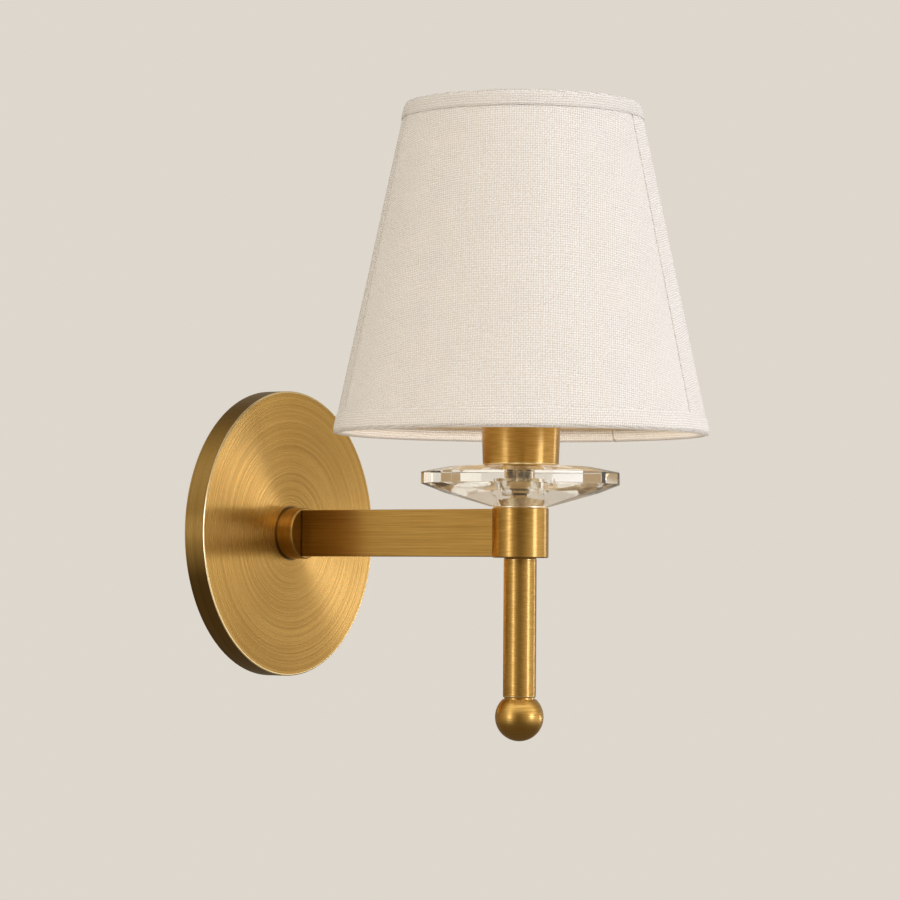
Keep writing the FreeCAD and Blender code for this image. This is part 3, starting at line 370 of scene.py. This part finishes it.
def new_material(name, **sockets):
    """A material with one Principled shader; the sockets are given with _ for spaces."""
    material = bpy.data.materials.new(name)
    material.use_nodes = True
    shader = material.node_tree.nodes["Principled BSDF"]
    for key, value in sockets.items():
        shader.inputs[key.replace("_", " ")].default_value = value
    return material, material.node_tree, shader


def add_bump(tree, shader, height, distance, strength):
    inputs = {"Height": height, "Distance": distance, "Strength": strength}
    tree.links.new(add_node(tree, "Bump", inputs).outputs[0], shader.inputs["Normal"])


# --- Metals ---------------------------------------------------------------------------------------
def around_wall_axis(tree):
    """The place along the wall plate's axis, and the flat vector from that axis."""
    split = separated(tree, coordinates(tree))
    return split["Y"], combined(tree, split["X"], split["Z"])


def around_lamp_axis(tree):
    """The place along the lamp's axis, and the flat vector from that axis."""
    split = separated(tree, vector_maths(tree, "SUBTRACT", coordinates(tree), (0.0, LAMP_Y, 0.0)))
    return split["Z"], combined(tree, split["X"], split["Y"])


def turned_grain(tree, along, flat, pitch, run):
    """Coordinates for fine lines that run round an axis: pitch across them and run along them."""
    radius = vector_maths(tree, "LENGTH", flat)
    across = maths(tree, "DIVIDE", maths(tree, "ADD", along, radius), pitch)
    around = separated(tree, scaled(tree, vector_maths(tree, "NORMALIZE", flat), run))
    return combined(tree, across, around["X"], around["Y"])


def wall_grain(tree, pitch, run):
    return turned_grain(tree, *around_wall_axis(tree), pitch, run)


def lamp_grain(tree, pitch, run):
    return turned_grain(tree, *around_lamp_axis(tree), pitch, run)


def drawn_grain(tree, pitch, run):
    """Coordinates for fine lines that run along Y."""
    return vector_maths(tree, "MULTIPLY", coordinates(tree), (1 / pitch, 1 / run, 1 / pitch))


def brushed_brass(name, grain, lines, roughness, stretch, tangent, painted_shades=(), strength=LINE_STRENGTH):
    """Antique brass with fine brushed lines under lacquer.

    grain places the lines, and tangent is the axis that they run round or the direction that they run along.
    stretch is how far they draw out a highlight. Each painted shade darkens the colour along a measure.
    """
    material, tree, shader = new_material(
        name,
        Metallic=1.0,
        Anisotropic=stretch,
        Anisotropic_Rotation=ACROSS_LINES,
        Coat_Weight=LACQUER,
        Coat_Roughness=LACQUER_ROUGHNESS,
        Coat_IOR=LACQUER_IOR,
    )
    fine = noise_value(tree, grain(tree, *lines[0]), detail=3.0, rough=0.6)
    coarse = noise_value(tree, grain(tree, *lines[1]), detail=2.0)
    cloud = noise_value(tree, coordinates(tree), scale=BRASS_CLOUDS, detail=3.0)
    both = blended(tree, (fine, coarse), LINE_SHARES)
    share = remap(tree, blended(tree, (both, cloud), TONE_SHARES), *TONE_RANGE)
    colour = mix_colour(tree, share, rgb(BRASS_DARK), rgb(BRASS_LIGHT))
    # painted shade and painted contact shadows, each darkening the colour along a measure
    for measure, start, end, before, after in painted_shades:
        colour = scaled(tree, colour, remap(tree, measure(tree), start, end, before, after))
    tree.links.new(colour, shader.inputs["Base Color"])
    rough = remap(tree, both, *GLOSS_RANGE, *(roughness * spread for spread in GLOSS_SPREAD))
    tree.links.new(rough, shader.inputs["Roughness"])
    if isinstance(tangent, str):
        node = add_node(tree, "Tangent", direction_type="RADIAL", axis=tangent)
    else:
        node = add_node(tree, "CombineXYZ", dict(enumerate(tangent)))
    tree.links.new(node.outputs[0], shader.inputs["Tangent"])
    add_bump(tree, shader, fine, LINE_DEPTH, strength)
    return material


def spun_brass():
    """The wall plate's brass, with painted shade round the rim and a painted contact shadow in the joint
    with the boss.
    """

    def radius(tree):
        return vector_maths(tree, "LENGTH", around_wall_axis(tree)[1])

    painted_shades = (
        # painted shade round the wall plate's rim
        (radius, RIM_RADIUS - RIM_BLUR, RIM_RADIUS + RIM_BLUR, 1.0, RIM_PAINTED_SHADE),
        # painted contact shadow where the boss stands on the plate
        (radius, BOSS_RADIUS + BOSS_SHADOW_BAND[0], BOSS_RADIUS + BOSS_SHADOW_BAND[1], JOINT_PAINTED_SHADOW, 1.0),
    )
    return brushed_brass(
        "spun_brass", wall_grain, SPUN_GRAIN, roughness=0.28, stretch=0.99, tangent="Y",
        painted_shades=painted_shades, strength=SPUN_LINE_STRENGTH,
    )


def boss_brass():
    return brushed_brass("boss_brass", wall_grain, BOSS_GRAIN, roughness=0.24, stretch=0.80, tangent="Y")


def turned_brass():
    return brushed_brass("turned_brass", lamp_grain, TURNED_GRAIN, roughness=0.32, stretch=0.90, tangent="Z")


def drawn_brass():
    """The arm's brass, with painted contact shadows in the joints at its ends and painted shade near the
    wall.
    """

    def along(tree):
        return maths(tree, "MULTIPLY", separated(tree, coordinates(tree))["Y"], -1.0)

    painted_shades = (
        # painted contact shadow at the arm's wall end
        (along, ARM_START, ARM_START + ARM_SHADOW_BAND, JOINT_PAINTED_SHADOW, 1.0),
        # painted shade along the arm near the wall
        (along, ARM_START, ARM_START + ARM_PAINTED_SHADE_RUN, ARM_PAINTED_SHADE, 1.0),
        # painted contact shadow where the arm meets the collar
        (along, ARM_END - ARM_SHADOW_BAND, ARM_END, 1.0, JOINT_PAINTED_SHADOW),
    )
    return brushed_brass(
        "drawn_brass", drawn_grain, DRAWN_GRAIN, roughness=0.32, stretch=0.90, tangent=(0.0, 1.0, 0.0),
        painted_shades=painted_shades,
    )


def ball_brass():
    return brushed_brass("ball_brass", lamp_grain, BALL_GRAIN, roughness=0.29, stretch=0.30, tangent="Z")


def plain_metal(name, colour, roughness, spread=0.04):
    """Small turned or plated metal parts, with a little wear in their gloss."""
    material, tree, shader = new_material(name, Metallic=1.0, Base_Color=rgb(colour))
    wear = noise_value(tree, coordinates(tree), scale=WEAR_SCALE, detail=3.0)
    rough = remap(tree, wear, *GLOSS_RANGE, roughness - spread, roughness + spread)
    tree.links.new(rough, shader.inputs["Roughness"])
    add_bump(tree, shader, wear, WEAR_DEPTH, WEAR_STRENGTH)
    return material


def rubbed_highlight_brass():
    """Edges that handling has rubbed bright, painted lighter still as a painted highlight line."""
    return plain_metal("rubbed_highlight_brass", RUBBED_HIGHLIGHT_BRASS, roughness=0.24, spread=0.03)


# --- Glass and plastics ---------------------------------------------------------------------------
def clear_glass(name, colour, ior, roughness=0.0, clarity=1.0):
    return new_material(
        name, Base_Color=rgb(colour), IOR=ior, Roughness=roughness, Transmission_Weight=clarity
    )[0]


def crystal():
    return clear_glass("crystal", CRYSTAL_COLOUR, CRYSTAL_IOR, clarity=CRYSTAL_CLARITY)


def clear_plastic():
    return clear_glass("clear_plastic", CLEAR_PLASTIC_COLOUR, CLEAR_PLASTIC_IOR, roughness=0.03)


def bulb_clear_glass():
    return clear_glass("bulb_clear_glass", BULB_GLASS_COLOUR, BULB_GLASS_IOR)


def moulded(name, colour, roughness, skin_scale):
    """Plastic, enamel and other plain surfaces with a fine skin."""
    material, tree, shader = new_material(name, Roughness=roughness)
    place = coordinates(tree)
    cloud = noise_value(tree, place, scale=MOULDED_CLOUDS, detail=2.0)
    darker = tuple(MOULDED_DARKER * c for c in colour)
    clouded = mix_colour(tree, remap(tree, cloud, *GLOSS_RANGE), rgb(darker), rgb(colour))
    tree.links.new(clouded, shader.inputs["Base Color"])
    skin = noise_value(tree, place, scale=skin_scale, detail=2.0)
    add_bump(tree, shader, skin, SKIN_DEPTH, SKIN_STRENGTH)
    return material


# --- Cloth ----------------------------------------------------------------------------------------
def weave(tree, place, pitch):
    """(height, openness, unevenness) of a plain weave on flat coordinates in metres."""
    split = separated(tree, place)
    waves = []
    for side, scale in DRIFT_SCALES:
        drift = noise_value(tree, place, scale=scale, detail=3.0)
        drift = maths(tree, "MULTIPLY", maths(tree, "SUBTRACT", drift, 0.5), THREAD_DRIFT)
        threads = maths(tree, "ADD", maths(tree, "DIVIDE", split[side], pitch), drift)
        waves.append(maths(tree, "SINE", maths(tree, "MULTIPLY", threads, math.pi)))
    warp, weft = (maths(tree, "ABSOLUTE", wave) for wave in waves)
    over = remap(tree, maths(tree, "MULTIPLY", *waves), *CROSSING)
    height = add_node(tree, "Mix", {0: over, 2: weft, 3: warp}).outputs[0]
    gaps = [maths(tree, "SUBTRACT", 1.0, maths(tree, "MULTIPLY", thread, thread)) for thread in (warp, weft)]
    openness = maths(tree, "MULTIPLY", *gaps)
    warp_place = vector_maths(tree, "MULTIPLY", place, (1 / pitch, WARP_SLUBS, 1.0))
    weft_place = vector_maths(tree, "MULTIPLY", place, (WEFT_SLUBS, 1 / pitch, 1.0))
    slubs = [noise_value(tree, slub_place, detail=1.0) for slub_place in (warp_place, weft_place)]
    uneven = maths(tree, "MULTIPLY", maths(tree, "ADD", *slubs), 0.5)
    return height, openness, uneven


def linen(name, place_of=None, light=LINEN_LIGHT, dark=LINEN_DARK, relief=LINEN_RELIEF):
    """Natural linen in a plain weave with thick and thin threads."""
    material, tree, shader = new_material(
        name, Roughness=LINEN_ROUGHNESS, Sheen_Weight=LINEN_FUZZ, Sheen_Roughness=FUZZ_ROUGHNESS
    )
    place = place_of(tree) if place_of else coordinates(tree, "UV")
    height, openness, uneven = weave(tree, place, LINEN_PITCH)
    cloud = noise_value(tree, place, scale=LINEN_CLOUDS, detail=3.0)
    fleck = noise_value(tree, place, scale=LINEN_FLECKS, detail=2.0)
    thread = remap(tree, uneven, *SLUB_RANGE)
    # painted shade: darker where the weave is low and open
    tone = remap(tree, height, *HEIGHT_TONE)
    for measure, steps in (
        (openness, GAP_TONE),
        (thread, THREAD_TONE),
        (cloud, CLOUD_TONE),
        (fleck, FLECK_TONE),
    ):
        tone = maths(tree, "MULTIPLY", tone, remap(tree, measure, *steps))
    colour = mix_colour(tree, tone, rgb(dark), rgb(light))
    tree.links.new(colour, shader.inputs["Base Color"])
    raised = maths(tree, "MULTIPLY", height, remap(tree, thread, 0.0, 1.0, *THIN_THREAD))
    add_bump(tree, shader, raised, relief, RELIEF_STRENGTH)
    return material


def around_shade(tree):
    """Flat coordinates in metres that run round the shade and up it."""
    split = separated(tree, coordinates(tree))
    away = maths(tree, "SUBTRACT", split["Y"], LAMP_Y)
    angle = maths(tree, "ARCTAN2", away, split["X"])
    return combined(tree, maths(tree, "MULTIPLY", angle, SHADE_BOTTOM_R), split["Z"])


def lining():
    return linen("lining", around_shade, LINING_LIGHT, LINING_DARK, LINING_RELIEF)


# --- Shade ----------------------------------------------------------------------------------------
def shade_radius(z):
    """The radius of the outside of the linen at this height."""
    share = (z - SHADE_LOW) / (SHADE_HIGH - SHADE_LOW)
    return SHADE_BOTTOM_R + share * (SHADE_TOP_R - SHADE_BOTTOM_R)


def on_lamp(radius, angle, z):
    """A point at a radius and an angle about the lamp's axis."""
    return Vector((radius * math.cos(angle), LAMP_Y + radius * math.sin(angle), z))


def new_piece(name, mesh):
    """An object of this mesh in the scene."""
    piece = bpy.data.objects.new(name, mesh)
    bpy.context.scene.collection.objects.link(piece)
    return piece


def cloth_piece(name, points, faces, material, uvs):
    """A smooth mesh object; uvs gives one (u, v) for each point."""
    mesh = bpy.data.meshes.new(name)
    mesh.from_pydata(points, [], faces)
    mesh.validate()
    mesh.shade_smooth()
    layer = mesh.uv_layers.new(name="UVMap")
    for loop in mesh.loops:
        layer.data[loop.index].uv = uvs[loop.vertex_index]
    mesh.materials.append(material)
    return new_piece(name, mesh)


def cloth_wave(angle, z):
    """The cloth's own small unevenness, in metres."""
    at = on_lamp(shade_radius(z), angle, z) / CLOTH_WAVE_LENGTH
    return CLOTH_WAVE * noise.noise(at)


def panel_lift(arc):
    """How far a panel rises over its neighbour, by the distance from the seam along the panel."""
    if arc >= SEAM_RISE:
        return 0.0
    share = 1 - max(arc, 0.0) / SEAM_RISE
    return SEAM_LIFT * share * share * (3 - 2 * share)


def cover_lift(angle, z):
    """How far the cover stands out from its cone under a tape."""
    radius = shade_radius(z)
    lift = 0.0
    for seam in SEAM_ANGLES:
        arc = math.remainder(angle - math.radians(seam), 2 * math.pi) * radius
        past_lap = -SEAM_LAP - arc
        lift = max(lift, panel_lift(past_lap * LAP_STEEPNESS if past_lap > 0 else arc))
    return lift + cloth_wave(angle, z)


def panel_points(start, end, columns):
    """The points of a panel, outside first, and their places on the unrolled cone."""
    low, high = COVER_BOX[0].z, COVER_BOX[1].z
    cone_sine = math.sin(math.atan((SHADE_BOTTOM_R - SHADE_TOP_R) / (SHADE_HIGH - SHADE_LOW)))
    middle = (start + end) / 2
    points, uvs = [], []
    for side in (0, 1):
        for row in range(PANEL_ROWS + 1):
            z = low + (high - low) * row / PANEL_ROWS
            radius = shade_radius(z)
            slant = radius / cone_sine
            first = start - SEAM_LAP / radius
            for column in range(columns + 1):
                angle = first + (end - first) * column / columns
                arc = (angle - start) * radius
                out = panel_lift(arc) + cloth_wave(angle, z) - side * LINEN_THICK
                points.append(on_lamp(radius + out, angle, z))
                turned = (angle - middle) * cone_sine
                uvs.append((slant * math.sin(turned), slant * math.cos(turned)))
    return points, uvs


def panel_faces(columns):
    """The faces of a panel: outside, inside and the four thin sides."""
    faces = []
    width = columns + 1
    layer = width * (PANEL_ROWS + 1)
    for row in range(PANEL_ROWS):
        for column in range(columns):
            a = row * width + column
            faces.append((a, a + 1, a + width + 1, a + width))
            faces.append((layer + a, layer + a + width, layer + a + width + 1, layer + a + 1))
    rim = list(range(width))
    rim += [row * width + columns for row in range(1, PANEL_ROWS + 1)]
    rim += [PANEL_ROWS * width + column for column in range(columns - 1, -1, -1)]
    rim += [row * width for row in range(PANEL_ROWS - 1, 0, -1)]
    for a, b in zip(rim, rim[1:] + rim[:1]):
        faces.append((b, a, layer + a, layer + b))
    return faces


def linen_panel(number, start, end, material):
    """One panel of the cover, from seam to seam, lapped over the panel before it."""
    columns = math.ceil((end - start) * SHADE_BOTTOM_R / PANEL_STEP)
    points, uvs = panel_points(start, end, columns)
    piece = cloth_piece(f"linen_panel_{number}", points, panel_faces(columns), material, uvs)
    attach(piece, "shade")
    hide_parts("shade_cover")


def tape_profile(edge, height, outward):
    """The tape's cross-section as (depth from the linen's outside, z): its outside, then its inside."""
    face_end = edge - outward * height
    turn_end = edge - outward * TAPE_TURN_IN
    roll = (TAPE_OUT + TAPE_INSIDE) / 2
    roll_z = edge - outward * roll
    outer = [(-TAPE_EDGE, face_end), (-TAPE_OUT, face_end + outward * TAPE_EDGE_RUN)]
    inner = [(-TAPE_OUT + TAPE_THICK, z) for _, z in outer]
    middle = roll - TAPE_OUT
    for step in range(TAPE_ROLL_STEPS + 1):
        turn = math.pi * step / TAPE_ROLL_STEPS
        reach = math.cos(turn)
        drop = math.sin(turn)
        outer.append((middle - roll * reach, roll_z + outward * roll * drop))
        inner.append((middle - (roll - TAPE_THICK) * reach, roll_z + outward * (roll - TAPE_THICK) * drop))
    outer.append((TAPE_INSIDE, turn_end))
    inner.append((TAPE_INSIDE - TAPE_THICK, turn_end))
    return outer, inner


def edge_tape(name, node, edge, height, outward, material):
    """Linen tape rolled round the wire at one edge of the shade."""
    outer, inner = tape_profile(edge, height, outward)
    ring = outer + inner[::-1]
    length = [0.0]
    for a, b in zip(outer, outer[1:]):
        length.append(length[-1] + math.hypot(b[0] - a[0], b[1] - a[1]))
    along = length + length[::-1]
    points, uvs, faces = [], [], []
    count = len(ring)
    for segment in range(TAPE_SEGMENTS):
        angle = 2 * math.pi * segment / TAPE_SEGMENTS
        stray = noise.noise(on_lamp(TAPE_WAVE_RADIUS, angle, edge)) * TAPE_WAVE
        for (depth, z), run in zip(ring, along):
            lift = cover_lift(angle, z) if depth < 0 else 0.0
            wave = stray if run == 0.0 else 0.0
            points.append(on_lamp(shade_radius(z) - depth + lift, angle, z + wave))
            uvs.append((angle * SHADE_BOTTOM_R, run))
    for segment in range(TAPE_SEGMENTS):
        a = segment * count
        b = (segment + 1) % TAPE_SEGMENTS * count
        for index in range(count):
            after = (index + 1) % count
            face = (a + index, b + index, b + after, a + after)
            faces.append(face if outward < 0 else face[::-1])
    piece = cloth_piece(name, points, faces, material, uvs)
    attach(piece, "shade")
    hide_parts(node)


def make_shade():
    cover_material = linen("linen")
    seams = [math.radians(angle) for angle in SEAM_ANGLES]
    seams.append(seams[0] + 2 * math.pi)
    for number in range(len(SEAM_ANGLES)):
        linen_panel(number + 1, seams[number], seams[number + 1], cover_material)
    tape_material = linen("linen_tape")
    edge_tape("bottom_tape", "shade_bottom_band", SHADE_LOW, BOTTOM_TAPE_HEIGHT, -1, tape_material)
    edge_tape("top_tape", "shade_top_band", SHADE_HIGH, TOP_TAPE_HEIGHT, 1, tape_material)


# --- Metal and crystal pieces ---------------------------------------------------------------------
def node_shape(name):
    """A CAD node's shape in the frame's coordinates, with its flat faces whole."""
    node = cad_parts[name]
    shape = bmesh.new()
    shape.from_mesh(node.data)
    shape.transform(node.matrix_world)
    bmesh.ops.remove_doubles(shape, verts=shape.verts, dist=SAME_POINT)
    bmesh.ops.dissolve_limit(
        shape, angle_limit=math.radians(SAME_PLANE), verts=shape.verts, edges=shape.edges
    )
    return shape


def shape_piece(name, shape, *materials):
    """A smooth object of this shape."""
    mesh = bpy.data.meshes.new(name)
    shape.to_mesh(mesh)
    shape.free()
    mesh.shade_smooth()
    for material in materials:
        mesh.materials.append(material)
    return new_piece(name, mesh)


def bevel_edges(piece, name, width, segments, method):
    """A bevel on the piece's edges, with its faces' shading kept flat."""
    bevel = piece.modifiers.new(name, "BEVEL")
    bevel.width = width
    bevel.segments = segments
    bevel.limit_method = method
    piece.modifiers.new("flat_faces", "WEIGHTED_NORMAL")
    return bevel


def is_rim_bevel(face):
    """Whether a face of the wall plate lies on the bevel round its front edge."""
    middle = face.calc_center_median()
    return middle.y < -BEVEL_FROM and math.hypot(middle.x, middle.z) > BEVEL_INSIDE


def flatten_bevel(shape):
    """Bring the wall plate's bevel closer to its face."""
    front = -min(vertex.co.y for vertex in shape.verts)
    for vertex in shape.verts:
        outside = math.hypot(vertex.co.x, vertex.co.z) > RIM_RADIUS
        if outside and front - BEVEL_FALL[1] < -vertex.co.y < front - BEVEL_FALL[0]:
            vertex.co.y = BEVEL_DROP - front


def soften(material, rubbed_highlight, *nodes):
    """A piece for each of these CAD nodes with its hard edges rounded, as turning and lacquer leave them."""
    for name in nodes:
        shape = node_shape(name)
        if name == "canopy":
            flatten_bevel(shape)
        for face in shape.faces:
            # the wall plate's bevel takes the lighter brass, a painted highlight round its front edge
            face.material_index = int(name == "canopy" and is_rim_bevel(face))
        piece = shape_piece(name + "_soft", shape, material, rubbed_highlight)
        width = BOSS_ROUNDING if name == "arm_boss" else EDGE_ROUNDING
        rounding = bevel_edges(piece, "soft_edges", width, ROUNDING_SEGMENTS, "ANGLE")
        rounding.angle_limit = math.radians(HARD_EDGE)
        # the rounded edges take the lighter brass, whose colour paints a highlight line
        rounding.material = 1
        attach(piece, "root")
        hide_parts(name)


def cut_crystal(material):
    """The dish with its facets' edges eased, a hair clear of the washers."""
    shape = node_shape("crystal_bobeche")
    low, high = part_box("crystal_bobeche")
    for vertex in shape.verts:
        share = (vertex.co.z - low.z) / (high.z - low.z)
        vertex.co.z += CRYSTAL_CLEAR * (1 - 2 * share)
    weights = shape.edges.layers.float.new("bevel_weight_edge")
    for edge in shape.edges:
        inner = min(math.hypot(vertex.co.x, vertex.co.y - LAMP_Y) for vertex in edge.verts)
        cut = inner > CRYSTAL_FOOT_RADIUS and edge.calc_face_angle(0.0) > math.radians(FACET_EDGE)
        edge[weights] = float(cut)
    piece = shape_piece("crystal_dish", shape, material)
    bevel_edges(piece, "eased_edges", CRYSTAL_EASING, 1, "WEIGHT")
    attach(piece, "root")
    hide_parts("crystal_bobeche")


def dress(material, *nodes):
    """Give these CAD nodes one material."""
    for name in nodes:
        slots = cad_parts[name].data.materials
        slots.clear()
        slots.append(material)


def make_brass():
    rubbed_highlight = rubbed_highlight_brass()
    soften(spun_brass(), rubbed_highlight, "canopy")
    soften(boss_brass(), rubbed_highlight, "arm_boss")
    soften(drawn_brass(), rubbed_highlight, "arm_tube")
    soften(turned_brass(), rubbed_highlight, "collar", "drop_rod", "socket_cup")
    dress(ball_brass(), "ball_finial")


def dress_small_parts():
    for name, colour, roughness, nodes in SMALL_METALS:
        dress(plain_metal(name, colour, roughness), *nodes)
    for name, colour, roughness, skin_scale, nodes in MOULDINGS:
        dress(moulded(name, colour, roughness, skin_scale), *nodes)
    dress(clear_plastic(), "crystal_sleeve")
    dress(bulb_clear_glass(), "bulb_glass", "bulb_stem")
    dress(lining(), "shade_liner")


# --- Stage ----------------------------------------------------------------------------------------
def make_floor():
    """A plain pale disc that fades into the background at its edge."""
    z = CAD_BOX[0].z - FLOOR_DROP
    bpy.ops.mesh.primitive_circle_add(vertices=FLOOR_SIDES, radius=FLOOR_RADIUS, fill_type="NGON")
    floor = bpy.context.object
    floor.name = "floor"
    floor.location = (0.0, LAMP_Y / 2, z)
    material, tree, shader = new_material("floor", Base_Color=rgb(FLOOR_COLOUR), Roughness=FLOOR_ROUGHNESS)
    away = vector_maths(tree, "LENGTH", coordinates(tree))
    share = remap(tree, away, FLOOR_FADE_FROM, FLOOR_RADIUS)
    clear = add_node(tree, "BsdfTransparent")
    mix = add_node(tree, "MixShader", {0: share, 1: shader.outputs[0], 2: clear.outputs[0]})
    tree.links.new(mix.outputs[0], tree.nodes["Material Output"].inputs["Surface"])
    floor.data.materials.append(material)
    floor.visible_glossy = False
    floor.visible_transmission = False
    floor.visible_shadow = False


def studio_direction(azimuth, elevation):
    """A direction from the light, by degrees to the camera's right and degrees up."""
    side, up = math.radians(azimuth), math.radians(elevation)
    turn = math.radians(CAMERA_AZIMUTH)
    right = Vector((math.cos(turn), math.sin(turn), 0.0))
    back = Vector((math.sin(turn), -math.cos(turn), 0.0))
    level = right * math.sin(side) + back * math.cos(side)
    return level * math.cos(up) + Vector((0.0, 0.0, math.sin(up)))


def window(tree, value, half, feather):
    """1 where a value is near 0, and 0 away from it, with soft ends. The widths are in degrees."""
    half, feather = math.radians(half), math.radians(feather)
    inputs = {"Value": maths(tree, "ABSOLUTE", value), 1: half + feather, 2: half - feather, 3: 0.0, 4: 1.0}
    return add_node(tree, "MapRange", inputs, interpolation_type="SMOOTHSTEP").outputs[0]


def ring_light(tree, azimuth):
    """The ring of panels round the studio."""
    ramp = add_node(tree, "ValToRGB", {0: remap(tree, azimuth, -math.pi, math.pi)})
    stops = ramp.color_ramp.elements
    while len(stops) < len(ROOM_RING):
        stops.new(0.5)
    for stop, (degrees, level, tint) in zip(stops, ROOM_RING):
        stop.position = degrees / 360 + 0.5
        colour = Vector(WARM_SHADE).lerp(Vector(WHITE_PANEL), tint) * level / RING_TOP
        stop.color = rgb(colour)
    return scaled(tree, ramp.outputs[0], RING_TOP)


def panel_sides(tree, place, middle, half_size, lean):
    """The distances along and across a panel from its middle, each with the panel's half size there."""
    turn = math.radians(lean)
    away = vector_maths(tree, "SUBTRACT", place, (math.radians(middle[0]), math.radians(middle[1]), 0.0))
    along = vector_maths(tree, "DOT_PRODUCT", away, (math.cos(turn), math.sin(turn), 0.0))
    across = vector_maths(tree, "DOT_PRODUCT", away, (-math.sin(turn), math.cos(turn), 0.0))
    return zip((along, across), half_size)


def room_light(tree, direction):
    """The studio as the light fitting sees it: a ring of panels, a ceiling panel and a dark floor."""
    across = vector_maths(tree, "DOT_PRODUCT", direction, studio_direction(90, 0))
    toward = vector_maths(tree, "DOT_PRODUCT", direction, studio_direction(0, 0))
    azimuth = maths(tree, "ARCTAN2", across, toward)
    height = separated(tree, direction)["Z"]
    colour = ring_light(tree, azimuth)
    place = combined(tree, azimuth, maths(tree, "ARCSINE", height))
    for middle, half_size, lean, feather, tint in SOFT_PANELS:
        sides = panel_sides(tree, place, middle, half_size, lean)
        lit = maths(tree, "MULTIPLY", *(window(tree, away, half, feather) for away, half in sides))
        colour = mix_colour(tree, lit, colour, rgb(tint))
    up = remap(tree, height, *CEILING_FROM_TO)
    wide = window(tree, azimuth, CEILING_HALF_WIDTH, CEILING_FEATHER)
    colour = mix_colour(tree, maths(tree, "MULTIPLY", up, wide), colour, rgb(CEILING))
    down = remap(tree, height, *GROUND_FROM_TO)
    return mix_colour(tree, down, colour, rgb(GROUND))


def glass_cards(tree, direction):
    """Bands round the studio: the dark and white cards that make cut glass sparkle."""
    bands = vector_maths(tree, "DOT_PRODUCT", direction, CARD_BANDS)
    share = remap(tree, maths(tree, "SINE", bands), *CARD_EDGE)
    return mix_colour(tree, share, rgb(GLASS_CARDS[0]), rgb(GLASS_CARDS[1]))


def make_world():
    """A plain backdrop, and the studio that lights the fitting and shows in its metal and glass."""
    world = bpy.data.worlds.new("studio")
    bpy.context.scene.world = world
    world.use_nodes = True
    tree = world.node_tree
    path = add_node(tree, "LightPath").outputs
    direction = coordinates(tree, "Generated")
    ahead = vector_maths(tree, "DOT_PRODUCT", direction, studio_direction(180, 0))
    straight = remap(tree, ahead, *SEEN_THROUGH_GLASS)
    through = maths(tree, "MULTIPLY", path["Is Transmission Ray"], straight)
    plain = maths(tree, "MAXIMUM", path["Is Camera Ray"], through)
    backdrop = tree.nodes["Background"]
    backdrop.inputs["Color"].default_value = rgb(BACKGROUND)
    carded = maths(tree, "MULTIPLY", path["Is Transmission Ray"], CARD_SHARE)
    seen = mix_colour(tree, carded, room_light(tree, direction), glass_cards(tree, direction))
    room = add_node(tree, "Background", {"Color": seen, "Strength": 1.0})
    mix = add_node(tree, "MixShader", {0: plain, 1: room.outputs[0], 2: backdrop.outputs[0]})
    tree.links.new(mix.outputs[0], tree.nodes["World Output"].inputs["Surface"])


def area_lamp(name, shape, size, power, colour):
    """A soft light that brightens the cloth and doesn't show in metal or glass."""
    lamp = bpy.data.lights.new(name, "AREA")
    lamp.shape = shape
    lamp.size = size
    lamp.energy = power
    lamp.color = colour
    holder = bpy.data.objects.new(name, lamp)
    bpy.context.scene.collection.objects.link(holder)
    holder.visible_glossy = False
    holder.visible_transmission = False
    return holder


def make_lights():
    middle = (CAD_BOX[0] + CAD_BOX[1]) / 2
    for name, azimuth, elevation, power, colour in CLOTH_LIGHTS:
        holder = area_lamp(name, "SQUARE", CLOTH_LIGHT_SIZE, power, colour)
        away = studio_direction(azimuth, elevation)
        holder.location = middle + away * CLOTH_LIGHT_DISTANCE
        holder.rotation_mode = "QUATERNION"
        holder.rotation_quaternion = away.to_track_quat("Z", "Y")
    opening = 2 * (SHADE_BOTTOM_R - TAPE_INSIDE)
    holder = area_lamp("lining_fill", "DISK", opening, LINING_FILL, LINING_FILL_COLOUR)
    holder.location = (0.0, LAMP_Y, SHADE_LOW)
    holder.rotation_euler = (math.pi, 0.0, 0.0)
    holder.visible_camera = False


def make_camera():
    azimuth, pitch, roll = (math.radians(a) for a in (CAMERA_AZIMUTH, CAMERA_PITCH, CAMERA_ROLL))
    level = Vector((math.cos(azimuth), math.sin(azimuth), 0.0))
    ahead = Vector((-math.sin(azimuth), math.cos(azimuth), 0.0))
    forward = ahead * math.cos(pitch) + Vector((0.0, 0.0, math.sin(pitch)))
    upright = level.cross(forward)
    right = level * math.cos(roll) + upright * math.sin(roll)
    up = upright * math.cos(roll) - level * math.sin(roll)
    data = bpy.data.cameras.new("camera")
    data.lens = CAMERA_LENS
    data.sensor_width = CAMERA_SENSOR
    camera = bpy.data.objects.new("camera", data)
    bpy.context.scene.collection.objects.link(camera)
    camera.matrix_world = Matrix.Translation(CAMERA_AT) @ Matrix((right, up, -forward)).transposed().to_4x4()
    bpy.context.scene.camera = camera


def main():
    make_shade()
    make_brass()
    cut_crystal(crystal())
    dress_small_parts()
    make_floor()
    make_world()
    make_lights()
    make_camera()
    bpy.context.scene.view_settings.view_transform = "Standard"


main()
